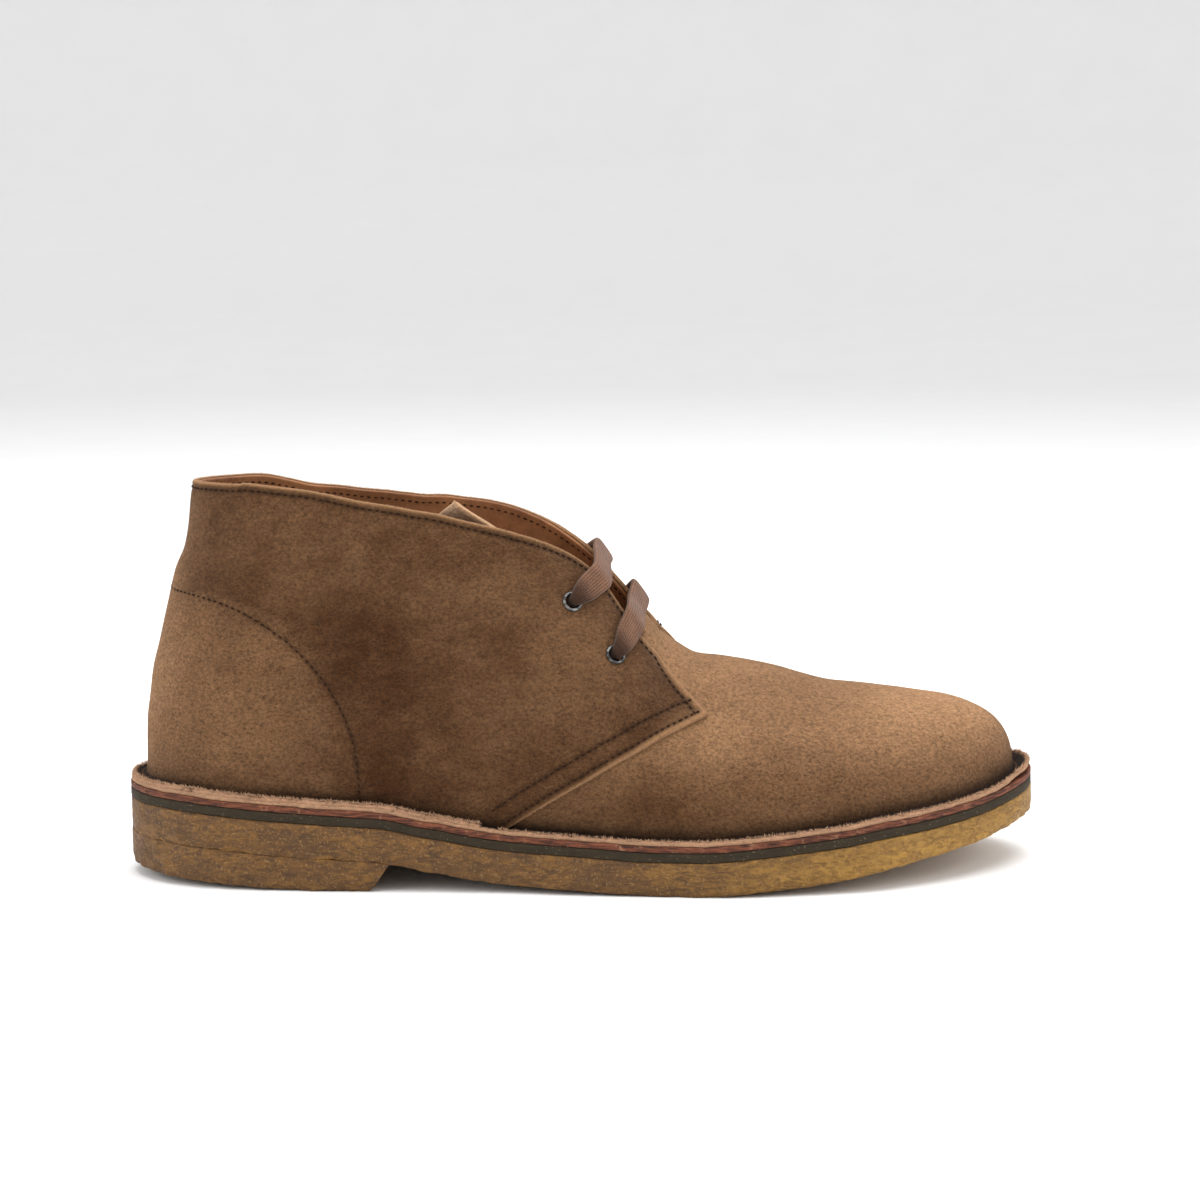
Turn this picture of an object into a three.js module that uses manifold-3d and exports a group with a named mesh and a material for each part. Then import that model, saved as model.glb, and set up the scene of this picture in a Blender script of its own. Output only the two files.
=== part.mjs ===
import * as THREE from 'three';
import { mergeVertices } from 'three/addons/utils/BufferGeometryUtils.js';
import Module from 'manifold-3d';

const wasm = await Module();
wasm.setup();

// A right desert boot in millimetres. The back of the last is at x = 0 and its toe on +X,
// the inner side of the foot is at +Y, and the floor is at z = 0.
const lastLength = 288;
const heelWidth = 66;
const ballWidth = 98.6;
const heelRound = 46;
const toeRound = 62;
const shaftHeight = 98;
const collarSetIn = 18;
const noseRound = 24;
const heelLift = 9.5;
const toeSpring = 14.3;
const toeThinning = 2.2;
const toeCurl = 1.4;

// The sole, from the floor up, and what keeps two pieces apart.
const outsoleThickness = 10.9;
const midsoleThickness = 2.9;
const weltThickness = 1.7;
const insoleThickness = 3.0;
const joint = 0.3;
const soleEdge = 6;
const heelLength = 82;
const breastSlant = 6;
const heelFlat = 56;
const heelWear = 3.4;
const treadBevel = 1.4;

// The upper: vamp leather, the quarters' step over it and the edge turned out onto the welt.
const vampWall = 1.8;
const quarterStep = 1.2;
const turnWidth = 5.5;
const turnThickness = 1.4;
const quarterTurnInset = 0.5;
const quarterTurnEnd = 0.41;
const wallFoot = 0.5;
const insoleGap = 0.9;
const tongueThickness = 2.0;
const tongueWidth = 38;
const tongueCentre = -1;

// Eyelets and lace.
const eyeletBore = 5.0;
const eyeletFlange = 7.3;
const eyeletMetal = 0.45;
const flangeMetal = 0.6;
const eyeletSides = 16;
const flangeGap = 0.35;
const laceWidth = 9;
const laceGap = 0.7;
const laceSlope = 1.45;
const laceThickness = 1.8;

// Plan of the last: half widths as shares of the heel's and the ball's width, and how far the
// middle line and the ridge lie to the inner side, as shares of the ball's width.
const plan = [
  { along: 0.00, heel: 0.478, ball: 0.000, centre: -0.008, ridge: 0.000 },
  { along: 0.15, heel: 0.480, ball: 0.000, centre: -0.010, ridge: 0.000 },
  { along: 0.25, heel: 0.510, ball: 0.000, centre: -0.022, ridge: 0.000 },
  { along: 0.33, heel: 0.440, ball: 0.045, centre: -0.040, ridge: 0.004 },
  { along: 0.41, heel: 0.300, ball: 0.149, centre: -0.056, ridge: 0.014 },
  { along: 0.50, heel: 0.140, ball: 0.300, centre: -0.062, ridge: 0.032 },
  { along: 0.60, heel: 0.030, ball: 0.425, centre: -0.048, ridge: 0.045 },
  { along: 0.68, heel: 0.000, ball: 0.482, centre: -0.028, ridge: 0.053 },
  { along: 0.80, heel: 0.000, ball: 0.462, centre: 0.005, ridge: 0.064 },
  { along: 0.90, heel: 0.000, ball: 0.418, centre: 0.045, ridge: 0.074 },
  { along: 1.00, heel: 0.000, ball: 0.385, centre: 0.081, ridge: 0.081 },
];

// Underside of the outsole: shares of the heel's lift and of the toe's spring.
const tread = [
  { along: 0.000, heel: 1.470, toe: 0 },
  { along: 0.050, heel: 1.430, toe: 0 },
  { along: 0.100, heel: 1.330, toe: 0 },
  { along: 0.170, heel: 1.170, toe: 0 },
  { along: 0.270, heel: 1.000, toe: 0 },
  { along: 0.295, heel: 0.885, toe: 0 },
  { along: 0.318, heel: 0.716, toe: 0 },
  { along: 0.340, heel: 0.620, toe: 0 },
  { along: 0.363, heel: 0.484, toe: 0 },
  { along: 0.385, heel: 0.380, toe: 0 },
  { along: 0.407, heel: 0.295, toe: 0 },
  { along: 0.430, heel: 0.240, toe: 0 },
  { along: 0.474, heel: 0.170, toe: 0 },
  { along: 0.518, heel: 0.100, toe: 0 },
  { along: 0.555, heel: 0.025, toe: 0 },
  { along: 0.575, heel: 0, toe: 0 },
  { along: 0.632, heel: 0, toe: 0 },
  { along: 0.655, heel: 0, toe: 0.024 },
  { along: 0.694, heel: 0, toe: 0.097 },
  { along: 0.738, heel: 0, toe: 0.169 },
  { along: 0.783, heel: 0, toe: 0.264 },
  { along: 0.829, heel: 0, toe: 0.437 },
  { along: 0.876, heel: 0, toe: 0.569 },
  { along: 0.926, heel: 0, toe: 0.718 },
  { along: 0.960, heel: 0, toe: 0.836 },
  { along: 1.000, heel: 0, toe: 1.000 },
];

// Top of the last over the feather line, as a share of the shaft's height, and how square the
// section under it is. It runs on over the open collar, where it is cut away.
const ridge = [
  { along: 0.0000, height: 1.340, square: 5.00 },
  { along: 0.3120, height: 1.380, square: 5.00 },
  { along: 0.3750, height: 1.360, square: 4.40 },
  { along: 0.4170, height: 1.300, square: 3.80 },
  { along: 0.4510, height: 1.180, square: 3.30 },
  { along: 0.4860, height: 1.030, square: 2.80 },
  { along: 0.5210, height: 0.908, square: 2.45 },
  { along: 0.5450, height: 0.824, square: 2.25 },
  { along: 0.5670, height: 0.734, square: 2.20 },
  { along: 0.5780, height: 0.678, square: 2.20 },
  { along: 0.5850, height: 0.643, square: 2.20 },
  { along: 0.5910, height: 0.620, square: 2.20 },
  { along: 0.6020, height: 0.592, square: 2.20 },
  { along: 0.6140, height: 0.567, square: 2.20 },
  { along: 0.6310, height: 0.537, square: 2.20 },
  { along: 0.6400, height: 0.530, square: 2.20 },
  { along: 0.6600, height: 0.521, square: 2.20 },
  { along: 0.6830, height: 0.504, square: 2.20 },
  { along: 0.7060, height: 0.483, square: 2.20 },
  { along: 0.7290, height: 0.459, square: 2.20 },
  { along: 0.7525, height: 0.431, square: 2.20 },
  { along: 0.7756, height: 0.406, square: 2.20 },
  { along: 0.7990, height: 0.383, square: 2.20 },
  { along: 0.8220, height: 0.364, square: 2.20 },
  { along: 0.8450, height: 0.348, square: 2.25 },
  { along: 0.8690, height: 0.333, square: 2.25 },
  { along: 0.8920, height: 0.316, square: 2.30 },
  { along: 0.9150, height: 0.300, square: 2.30 },
  { along: 0.9380, height: 0.280, square: 2.35 },
  { along: 0.9600, height: 0.262, square: 2.40 },
  { along: 0.9800, height: 0.252, square: 2.40 },
  { along: 1.0000, height: 0.240, square: 2.40 },
];

// Swell of the walls over the feather line by height, at the shaft and at the vamp, and how far
// the back curves in, as a share of the collar's set-in.
const girth = [
  { height: 0.00, shaft: 1.000, vamp: 1.000, lean: 0.000 },
  { height: 0.06, shaft: 1.028, vamp: 1.012, lean: 0.045 },
  { height: 0.12, shaft: 1.045, vamp: 1.020, lean: 0.055 },
  { height: 0.21, shaft: 1.040, vamp: 1.020, lean: 0.078 },
  { height: 0.29, shaft: 1.020, vamp: 1.020, lean: 0.144 },
  { height: 0.38, shaft: 0.990, vamp: 1.010, lean: 0.217 },
  { height: 0.46, shaft: 0.957, vamp: 0.985, lean: 0.328 },
  { height: 0.54, shaft: 0.925, vamp: 0.965, lean: 0.433 },
  { height: 0.62, shaft: 0.890, vamp: 0.948, lean: 0.539 },
  { height: 0.71, shaft: 0.860, vamp: 0.932, lean: 0.667 },
  { height: 0.79, shaft: 0.828, vamp: 0.917, lean: 0.850 },
  { height: 0.87, shaft: 0.797, vamp: 0.903, lean: 0.935 },
  { height: 0.95, shaft: 0.772, vamp: 0.894, lean: 0.983 },
  { height: 1.00, shaft: 0.760, vamp: 0.890, lean: 1.020 },
  { height: 1.36, shaft: 0.700, vamp: 0.880, lean: 1.200 },
];

// Edges in side view: heights over the feather line as shares of the shaft's height.
const collar = [
  { along: 0.0600, lateral: 1.0150, medial: 1.0150 },
  { along: 0.0750, lateral: 1.0215, medial: 1.0160 },
  { along: 0.1170, lateral: 1.0210, medial: 1.0050 },
  { along: 0.1550, lateral: 1.0205, medial: 0.9950 },
  { along: 0.1900, lateral: 1.0145, medial: 0.9950 },
  { along: 0.2200, lateral: 1.0050, medial: 0.9905 },
  { along: 0.2460, lateral: 0.9970, medial: 0.9875 },
  { along: 0.2790, lateral: 0.9925, medial: 0.9875 },
  { along: 0.3000, lateral: 0.9940, medial: 0.9930 },
  { along: 0.3230, lateral: 0.9980, medial: 1.0020 },
  { along: 0.3510, lateral: 0.9945, medial: 1.0125 },
  { along: 0.3895, lateral: 0.9840, medial: 1.0165 },
  { along: 0.4116, lateral: 0.9755, medial: 1.0100 },
  { along: 0.4305, lateral: 0.9625, medial: 0.9965 },
  { along: 0.4560, lateral: 0.9390, medial: 0.9690 },
  { along: 0.4780, lateral: 0.9106, medial: 0.9370 },
  { along: 0.5000, lateral: 0.8710, medial: 0.8950 },
  { along: 0.5140, lateral: 0.8380, medial: 0.8630 },
];
const facing = [
  { along: 0.5226, lateral: 0.8144, medial: 0.8465 },
  { along: 0.5360, lateral: 0.7590, medial: 0.7920 },
  { along: 0.5469, lateral: 0.7135, medial: 0.7574 },
  { along: 0.5670, lateral: 0.6320, medial: 0.6890 },
  { along: 0.5890, lateral: 0.5535, medial: 0.6270 },
  { along: 0.6110, lateral: 0.4760, medial: 0.5450 },
  { along: 0.6400, lateral: 0.3917, medial: 0.4320 },
];
const seam = [
  { along: 0.6380, lateral: 0.3860, medial: 0.4250 },
  { along: 0.5866, lateral: 0.3277, medial: 0.3530 },
  { along: 0.5419, lateral: 0.2570, medial: 0.2710 },
  { along: 0.4973, lateral: 0.1742, medial: 0.1830 },
  { along: 0.4525, lateral: 0.0877, medial: 0.0900 },
  { along: 0.4120, lateral: 0.0000, medial: 0.0000 },
];
const throatEnd = 0.586;

const eyelets = [
  { name: 'upper', lateral: { along: 0.490, height: 0.745 }, medial: { along: 0.494, height: 0.785 } },
  { name: 'lower', lateral: { along: 0.537, height: 0.581 }, medial: { along: 0.542, height: 0.628 } },
];

// Where each lace bar passes the facings, and its top over the throat.
const laceBars = [
  {
    lateral: { along: 0.5167, height: 0.809 },
    middle: { along: 0.5215, height: 0.870 },
    medial: { along: 0.519, height: 0.848 },
  },
  {
    lateral: { along: 0.5538, height: 0.673 },
    middle: { along: 0.5610, height: 0.705 },
    medial: { along: 0.561, height: 0.713 },
  },
];

// The tongue from under the vamp's edge to its top, by shares of its run.
const tongue = [
  { run: 0.00, along: 0.606, height: 0.531, half: 0.76, crown: 0.060, tilt: -0.010 },
  { run: 0.10, along: 0.590, height: 0.567, half: 0.80, crown: 0.052, tilt: -0.010 },
  { run: 0.20, along: 0.572, height: 0.612, half: 0.84, crown: 0.040, tilt: -0.005 },
  { run: 0.32, along: 0.545, height: 0.660, half: 0.88, crown: 0.028, tilt: 0.000 },
  { run: 0.43, along: 0.521, height: 0.703, half: 0.92, crown: 0.018, tilt: 0.005 },
  { run: 0.58, along: 0.479, height: 0.780, half: 0.95, crown: 0.008, tilt: 0.015 },
  { run: 0.74, along: 0.438, height: 0.868, half: 0.95, crown: 0.000, tilt: 0.030 },
  { run: 0.86, along: 0.403, height: 0.930, half: 0.92, crown: 0.000, tilt: 0.047 },
  { run: 1.00, along: 0.372, height: 0.975, half: 0.88, crown: 0.000, tilt: 0.062 },
];

const stations = 40;
const levels = 12;

const smooth = (value, low, high) => THREE.MathUtils.smoothstep(value, low, high);
const mix = THREE.MathUtils.lerp;

// A smooth curve through one column of a table, which never swings past its rows.
function column(rows, name, key = 'along') {
  const at = rows.map((row) => row[key]);
  const value = rows.map((row) => row[name]);
  const slope = at.slice(1).map((next, i) => (value[i + 1] - value[i]) / (next - at[i]));
  const tangent = value.map((_, i) => {
    const before = slope[Math.max(i - 1, 0)];
    const after = slope[Math.min(i, slope.length - 1)];
    return before * after <= 0 ? 0 : (2 * before * after) / (before + after);
  });
  return (x) => {
    if (x <= at[0]) return value[0] + tangent[0] * (x - at[0]);
    const last = at.length - 1;
    if (x >= at[last]) return value[last] + tangent[last] * (x - at[last]);
    const i = at.findIndex((edge) => edge > x) - 1;
    const width = at[i + 1] - at[i];
    const t = (x - at[i]) / width;
    const rise = value[i + 1] - value[i];
    const bend = (1 - t) * (tangent[i] * width - rise) - t * (tangent[i + 1] * width - rise);
    return value[i] + t * rise + t * (1 - t) * bend;
  };
}

// One quarter of a round end: 0 at the end itself and 1 from the radius on.
function rounded(distance, radius, power = 2.1) {
  const t = 1 - THREE.MathUtils.clamp(distance / radius, 0, 1);
  return (1 - t ** power) ** (1 / power);
}

const planHeel = column(plan, 'heel');
const planBall = column(plan, 'ball');
const planCentre = column(plan, 'centre');
const planRidge = column(plan, 'ridge');
const treadHeel = column(tread, 'heel');
const treadToe = column(tread, 'toe');
const ridgeHeight = column(ridge, 'height');
const ridgeSquare = column(ridge, 'square');
const girthShaft = column(girth, 'shaft', 'height');
const girthVamp = column(girth, 'vamp', 'height');
const backLean = column(girth, 'lean', 'height');

const treadLevel = (along) => heelLift * treadHeel(along) + toeSpring * treadToe(along);
const thinned = (along) => outsoleThickness - toeThinning * smooth(along, 0.76, 0.95);
const midsoleLevel = (along) => treadLevel(along) + thinned(along) + joint;
const weltLevel = (along) => midsoleLevel(along) + midsoleThickness + joint;
const featherLevel = (along) => weltLevel(along) + weltThickness + joint;

// Outline of the last, grown by a margin, at a share of its grown length.
function outline(share, grow) {
  const x = -grow + (lastLength + 2 * grow) * share;
  const ends = rounded(x + grow, heelRound + grow, 2) * rounded(lastLength + grow - x, toeRound + grow);
  const half = (heelWidth * planHeel(share) + ballWidth * planBall(share) + grow) * ends;
  const centre = ballWidth * planCentre(share);
  return { x, along: x / lastLength, lateral: centre - half, medial: centre + half };
}

const outlineAt = (x, grow) => outline((x + grow) / (lastLength + 2 * grow), grow);

// Shares of a length, closer together at the round ends.
const spread = (count, crowding = 0.72) => Array.from({ length: count + 1 }, (_, i) => {
  const even = i / count;
  return mix(even, (1 - Math.cos(Math.PI * even)) / 2, crowding);
});

const lastTop = (along) => ridgeHeight(along) * rounded(lastLength * (1 - along), noseRound, 2.4);
const backShare = (along) => 1 - smooth(along, 0, 0.34);

// A point of the last, from its share along, its height share and its side (-1 lateral, 1 medial).
function lastPoint(along, height, side) {
  const top = lastTop(along);
  const rise = top > 0 ? Math.min(height / top, 1) : 0;
  const power = ridgeSquare(along);
  const arch = (1 - rise ** power) ** (1 / power);
  const swell = mix(girthShaft(height), girthVamp(height), smooth(along, 0.45, 0.65));
  const foot = outline(along, 0);
  const half = ((foot.medial - foot.lateral) / 2) * swell * arch;
  const middle = mix((foot.medial + foot.lateral) / 2, ballWidth * planRidge(along), rise * rise);
  return new THREE.Vector3(
    foot.x + collarSetIn * backLean(height) * backShare(along),
    middle + side * half,
    featherLevel(along) + shaftHeight * height,
  );
}

// The same point moved off the surface, along its outward normal.
function offPoint(along, height, side, off) {
  const step = 0.004;
  const point = lastPoint(along, height, side);
  const ahead = lastPoint(along + step, height, side).sub(lastPoint(along - step, height, side));
  const above = lastPoint(along, height + step, side).sub(lastPoint(along, height - step, side));
  const normal = ahead.cross(above).normalize().multiplyScalar(-side);
  return { normal, point: point.addScaledVector(normal, off) };
}

// Points along a polyline at even steps of its weighted length.
function resample(points, weights, count) {
  const run = [0];
  for (let i = 1; i < points.length; i += 1) {
    run.push(run[i - 1] + points[i].distanceTo(points[i - 1]) * weights[i]);
  }
  const total = run[run.length - 1];
  return Array.from({ length: count + 1 }, (_, k) => {
    const goal = (total * k) / count;
    if (total === 0 || k === 0) return points[0].clone();
    if (k === count) return points[points.length - 1].clone();
    const i = run.findIndex((reached) => reached >= goal);
    return points[i - 1].clone().lerp(points[i], (goal - run[i - 1]) / (run[i] - run[i - 1]));
  });
}

// Rows of points over the last, from the lateral feather line over the ridge to the medial one.
function lastGrid() {
  const samples = 60;
  const collarTop = 1.05;
  return spread(stations).map((along) => {
    const top = lastTop(along);
    const foot = Math.min(wallFoot / shaftHeight, top);
    const heights = Array.from({ length: samples + 1 }, (_, k) =>
      mix(foot, top, Math.sin((Math.PI / 2) * (k / samples))));
    const weights = heights.map((height) => (height < collarTop ? 1 : 0.15));
    const half = (side) => resample(heights.map((height) => lastPoint(along, height, side)), weights, levels);
    return [...half(-1), ...half(1).reverse().slice(1)];
  });
}

// Outward normals of a grid of points, shared where points meet.
function gridNormals(grid) {
  const key = (p) => [p.x, p.y, p.z].map((value) => Math.round(value * 1000)).join();
  const sums = new Map();
  const add = (a, b, c) => {
    const normal = new THREE.Vector3().subVectors(b, a).cross(new THREE.Vector3().subVectors(c, a));
    [a, b, c].forEach((p) => {
      sums.set(key(p), (sums.get(key(p)) ?? new THREE.Vector3()).add(normal));
    });
  };
  for (let i = 1; i < grid.length; i += 1) {
    for (let j = 1; j < grid[i].length; j += 1) {
      add(grid[i - 1][j - 1], grid[i][j - 1], grid[i][j]);
      add(grid[i - 1][j - 1], grid[i][j], grid[i - 1][j]);
    }
  }
  return grid.map((row) => row.map((p) => sums.get(key(p)).clone().normalize()));
}

// A closed solid from triangles of points: corners merged, empty faces dropped, faces outwards.
function closedGeometry(triangles) {
  const flat = triangles.flat().flatMap((p) => [p.x, p.y, p.z]);
  const loose = new THREE.BufferGeometry();
  loose.setAttribute('position', new THREE.Float32BufferAttribute(flat, 3));
  const merged = mergeVertices(loose, 1e-4);
  const index = Array.from(merged.index.array);
  const corner = (i) => new THREE.Vector3().fromBufferAttribute(merged.attributes.position, i);
  const kept = [];
  let volume = 0;
  for (let i = 0; i < index.length; i += 3) {
    const [a, b, c] = index.slice(i, i + 3);
    if (a === b || b === c || c === a) continue;
    kept.push([a, b, c]);
    volume += corner(a).dot(corner(b).cross(corner(c)));
  }
  merged.setIndex(kept.flatMap(([a, b, c]) => (volume > 0 ? [a, b, c] : [a, c, b])));
  return merged;
}

const quad = (a, b, c, d) => [[a, b, c], [a, c, d]];

// A closed shell: one grid of points outside, one inside, and a rim along both of its long edges.
function shell(outside, inside) {
  const triangles = [];
  const last = outside[0].length - 1;
  for (let i = 1; i < outside.length; i += 1) {
    const [o, p, q, r] = [outside[i - 1], outside[i], inside[i - 1], inside[i]];
    for (let j = 1; j <= last; j += 1) {
      triangles.push(...quad(o[j - 1], p[j - 1], p[j], o[j]));
      triangles.push(...quad(q[j - 1], q[j], r[j], r[j - 1]));
    }
    triangles.push(...quad(o[0], q[0], r[0], p[0]));
    triangles.push(...quad(o[last], p[last], r[last], q[last]));
  }
  return closedGeometry(triangles);
}

// A closed solid through rings of points, with its ends filled where the ring has an area.
function loft(rings, fillFirst, fillLast) {
  const triangles = [];
  const count = rings[0].length;
  for (let i = 1; i < rings.length; i += 1) {
    for (let j = 0; j < count; j += 1) {
      const k = (j + 1) % count;
      triangles.push(...quad(rings[i - 1][j], rings[i][j], rings[i][k], rings[i - 1][k]));
    }
  }
  for (let j = 1; j + 1 < count; j += 1) {
    if (fillFirst) triangles.push([rings[0][0], rings[0][j], rings[0][j + 1]]);
    const end = rings[rings.length - 1];
    if (fillLast) triangles.push([end[0], end[j + 1], end[j]]);
  }
  return closedGeometry(triangles);
}

function toSolid(geometry) {
  const bare = geometry.clone();
  bare.deleteAttribute('normal');
  bare.deleteAttribute('uv');
  const merged = mergeVertices(bare, 1e-4);
  return new wasm.Manifold(new wasm.Mesh({
    numProp: 3,
    vertProperties: new Float32Array(merged.attributes.position.array),
    triVerts: new Uint32Array(merged.index.array),
  }));
}

function toGeometry(solid) {
  const mesh = solid.getMesh();
  const geometry = new THREE.BufferGeometry();
  geometry.setAttribute('position', new THREE.BufferAttribute(mesh.vertProperties.slice(), 3));
  geometry.setIndex(new THREE.BufferAttribute(mesh.triVerts.slice(), 1));
  geometry.computeVertexNormals();
  return geometry;
}

// A point of an edge in side view.
const sidePoint = (along, height) => {
  const p = lastPoint(along, height, 1);
  return new THREE.Vector2(p.x, p.z);
};

// A side view outline pushed through from one y to another.
function prism(points, from, to) {
  const geometry = new THREE.ExtrudeGeometry(new THREE.Shape(points), { depth: to - from, bevelEnabled: false });
  return toSolid(geometry.rotateX(Math.PI / 2).translate(0, to, 0));
}

const reach = lastLength;
const sides = { lateral: [-reach, 0], medial: [0, reach] };

// Points of an edge table, taken closer together along its smooth curve.
function edgePoints(rows, name, steps) {
  const height = column(rows[0].along < rows[rows.length - 1].along ? rows : [...rows].reverse(), name);
  const [from, to] = [rows[0].along, rows[rows.length - 1].along];
  return Array.from({ length: steps + 1 }, (_, i) => {
    const along = mix(from, to, i / steps);
    return sidePoint(along, height(along));
  });
}

// What the quarter covers on one side: behind its seam and its facing.
function quarterPrism(side) {
  const facingLine = edgePoints(facing, side, 14).filter((p) => p.x > throatEnd * lastLength);
  const top = facingLine[0].clone().add(new THREE.Vector2(-joint, reach));
  return prism([
    new THREE.Vector2(-reach, -reach), new THREE.Vector2(seam[seam.length - 1].along * lastLength, -reach),
    ...edgePoints([...seam].reverse(), side, 12), ...facingLine.reverse(), top, new THREE.Vector2(-reach, reach),
  ], ...sides[side]);
}

// What is open on one side: over the collar, in front of the facing and behind the vamp's edge.
function mouthPrism(side) {
  const facingLine = edgePoints(facing, side, 14).filter((p) => p.x < throatEnd * lastLength);
  const height = column(facing, side)(throatEnd);
  return prism([
    new THREE.Vector2(-reach, sidePoint(collar[0].along, collar[0][side]).y), ...edgePoints(collar, side, 22),
    ...facingLine, sidePoint(throatEnd, height), new THREE.Vector2(throatEnd * lastLength, reach),
    new THREE.Vector2(-reach, reach),
  ], ...sides[side]);
}

// The edge turned out onto the welt, from one share of the length to the toe or round the heel.
function turnRing(from, to, inner, outer, low, high) {
  const shares = spread(stations).filter((share) => share >= from && share <= to);
  const ring = shares.map((share) => [outline(share, inner), outline(share, outer)]);
  const loop = [
    ...ring.map(([a, b]) => [a, b, 'lateral']),
    ...ring.map(([a, b]) => [a, b, 'medial']).reverse(),
  ];
  return loop.map(([a, b, side]) => [
    new THREE.Vector3(a.x, a[side], featherLevel(a.along) + low),
    new THREE.Vector3(b.x, b[side], featherLevel(b.along) + low),
    new THREE.Vector3(b.x, b[side], featherLevel(b.along) + high + toeCurl * smooth(b.along, 0.96, 1.01)),
    new THREE.Vector3(a.x, a[side], featherLevel(a.along) + high),
  ]);
}

function upperGeometry() {
  const grid = lastGrid();
  const normals = gridNormals(grid);
  const moved = (off) => grid.map((row, i) => row.map((p, j) => p.clone().addScaledVector(normals[i][j], off)));
  const vamp = toSolid(shell(moved(0), moved(-vampWall)));
  const raised = toSolid(shell(moved(quarterStep), moved(-vampWall / 2)));
  const quarters = raised.intersect(quarterPrism('lateral').add(quarterPrism('medial')));
  const vampTurn = turnRing(0, 1, -vampWall / 2, turnWidth, 0, turnThickness);
  vampTurn.push(vampTurn[0]);
  const quarterTurn = turnRing(0, quarterTurnEnd, -vampWall / 3, turnWidth - quarterTurnInset,
    turnThickness / 2, turnThickness + quarterStep);
  const back = quarterTurn.length / 2;
  const aroundHeel = [...quarterTurn.slice(back), ...quarterTurn.slice(0, back)];
  let upper = vamp.add(quarters).add(toSolid(loft(vampTurn, false, false)));
  upper = upper.add(toSolid(loft(aroundHeel, true, true)));
  upper = upper.subtract(mouthPrism('lateral').add(mouthPrism('medial')));
  eyeletPlaces().forEach(({ matrix }) => {
    upper = upper.subtract(toSolid(turned(eyeletSeat(), matrix)));
  });
  return toGeometry(upper);
}

// Where each eyelet sits: its axis is the wall's normal.
function eyeletPlaces() {
  return eyelets.flatMap((row) => ['lateral', 'medial'].map((side) => {
    const { along, height } = row[side];
    const { normal, point } = offPoint(along, height, side === 'lateral' ? -1 : 1, 0);
    const turn = new THREE.Quaternion().setFromUnitVectors(new THREE.Vector3(0, 1, 0), normal);
    const matrix = new THREE.Matrix4().compose(point, turn, new THREE.Vector3(1, 1, 1));
    return { name: `eyelet_${side}_${row.name}`, matrix };
  }));
}

// A lathe of [radius, along] corners round the Y axis, put where a matrix says.
function turned(corners, matrix) {
  const lathe = new THREE.LatheGeometry(corners.map((corner) => new THREE.Vector2(...corner)), eyeletSides);
  lathe.deleteAttribute('uv');
  lathe.deleteAttribute('normal');
  const merged = mergeVertices(lathe, 1e-4).applyMatrix4(matrix);
  const index = merged.index.array;
  const kept = [];
  for (let i = 0; i < index.length; i += 3) {
    const [a, b, c] = index.slice(i, i + 3);
    if (a !== b && b !== c && c !== a) kept.push(a, b, c);
  }
  merged.setIndex(kept);
  return merged;
}

// What an eyelet needs cut from the wall: a hole, and room for its flanges in front and behind.
function eyeletSeat() {
  const hole = eyeletBore / 2 + eyeletMetal + joint;
  const room = eyeletFlange / 2 + joint;
  const depth = 3 * vampWall;
  const front = quarterStep + flangeGap - joint;
  return [
    [0, -depth], [room, -depth], [room, -vampWall], [hole, -vampWall], [hole, front],
    [room, front], [room, depth], [0, depth],
  ];
}

// An eyelet: a barrel through the wall with a round flange outside and one clinched inside.
function eyeletGeometry(matrix) {
  const bore = eyeletBore / 2;
  const barrel = bore + eyeletMetal;
  const flange = eyeletFlange / 2;
  const outside = quarterStep + flangeGap;
  const inside = -vampWall - flangeGap;
  return turned([
    [bore, inside - flangeMetal], [flange - flangeMetal / 2, inside - flangeMetal],
    [flange - flangeMetal / 2, inside], [barrel, inside], [barrel, outside], [flange, outside],
    [flange - flangeMetal / 2, outside + flangeMetal], [bore, outside + flangeMetal],
    [bore, inside - flangeMetal],
  ], matrix);
}

// A sheet of the sole between two levels, with its lower edge bevelled by a width.
function sheet(grow, bottom, top, bevel = () => 0, shares = spread(34)) {
  const rings = shares.map((share) => {
    const edge = outline(share, grow);
    const cut = bevel(edge.x);
    const low = cut > 0 ? outline(share, grow - cut) : edge;
    const base = bottom(edge.along);
    return [
      new THREE.Vector3(low.x, low.lateral, base),
      new THREE.Vector3(low.x, low.medial, base),
      new THREE.Vector3(edge.x, edge.medial, base + cut),
      new THREE.Vector3(edge.x, edge.medial, top(edge.along)),
      new THREE.Vector3(edge.x, edge.lateral, top(edge.along)),
      new THREE.Vector3(edge.x, edge.lateral, base + cut),
    ];
  });
  return loft(rings, false, false);
}

// The heel: flat on the floor at the front, worn up and round at the back, with a slanted breast.
function heelGeometry() {
  const back = -soleEdge;
  const worn = (x) => heelWear * THREE.MathUtils.clamp((heelFlat - x) / (heelFlat - back), 0, 1) ** 1.2;
  const rings = [0, 0.012, 0.04, 0.085, 0.15, 0.24, 0.36, 0.5, 0.64, 0.756, 0.87, 1].map((share) => {
    const top = outlineAt(mix(back, heelLength, share), soleEdge);
    const edge = outlineAt(mix(back, heelLength - breastSlant, share), soleEdge);
    const low = outlineAt(mix(back + treadBevel, heelLength - breastSlant, share), soleEdge - treadBevel);
    const level = treadLevel(top.along) - joint;
    const base = worn(low.x);
    return [
      new THREE.Vector3(low.x, low.lateral, base), new THREE.Vector3(low.x, low.medial, base),
      new THREE.Vector3(edge.x, edge.medial, base + treadBevel), new THREE.Vector3(top.x, top.medial, level),
      new THREE.Vector3(top.x, top.lateral, level), new THREE.Vector3(edge.x, edge.lateral, base + treadBevel),
    ];
  });
  return loft(rings, false, true);
}

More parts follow.
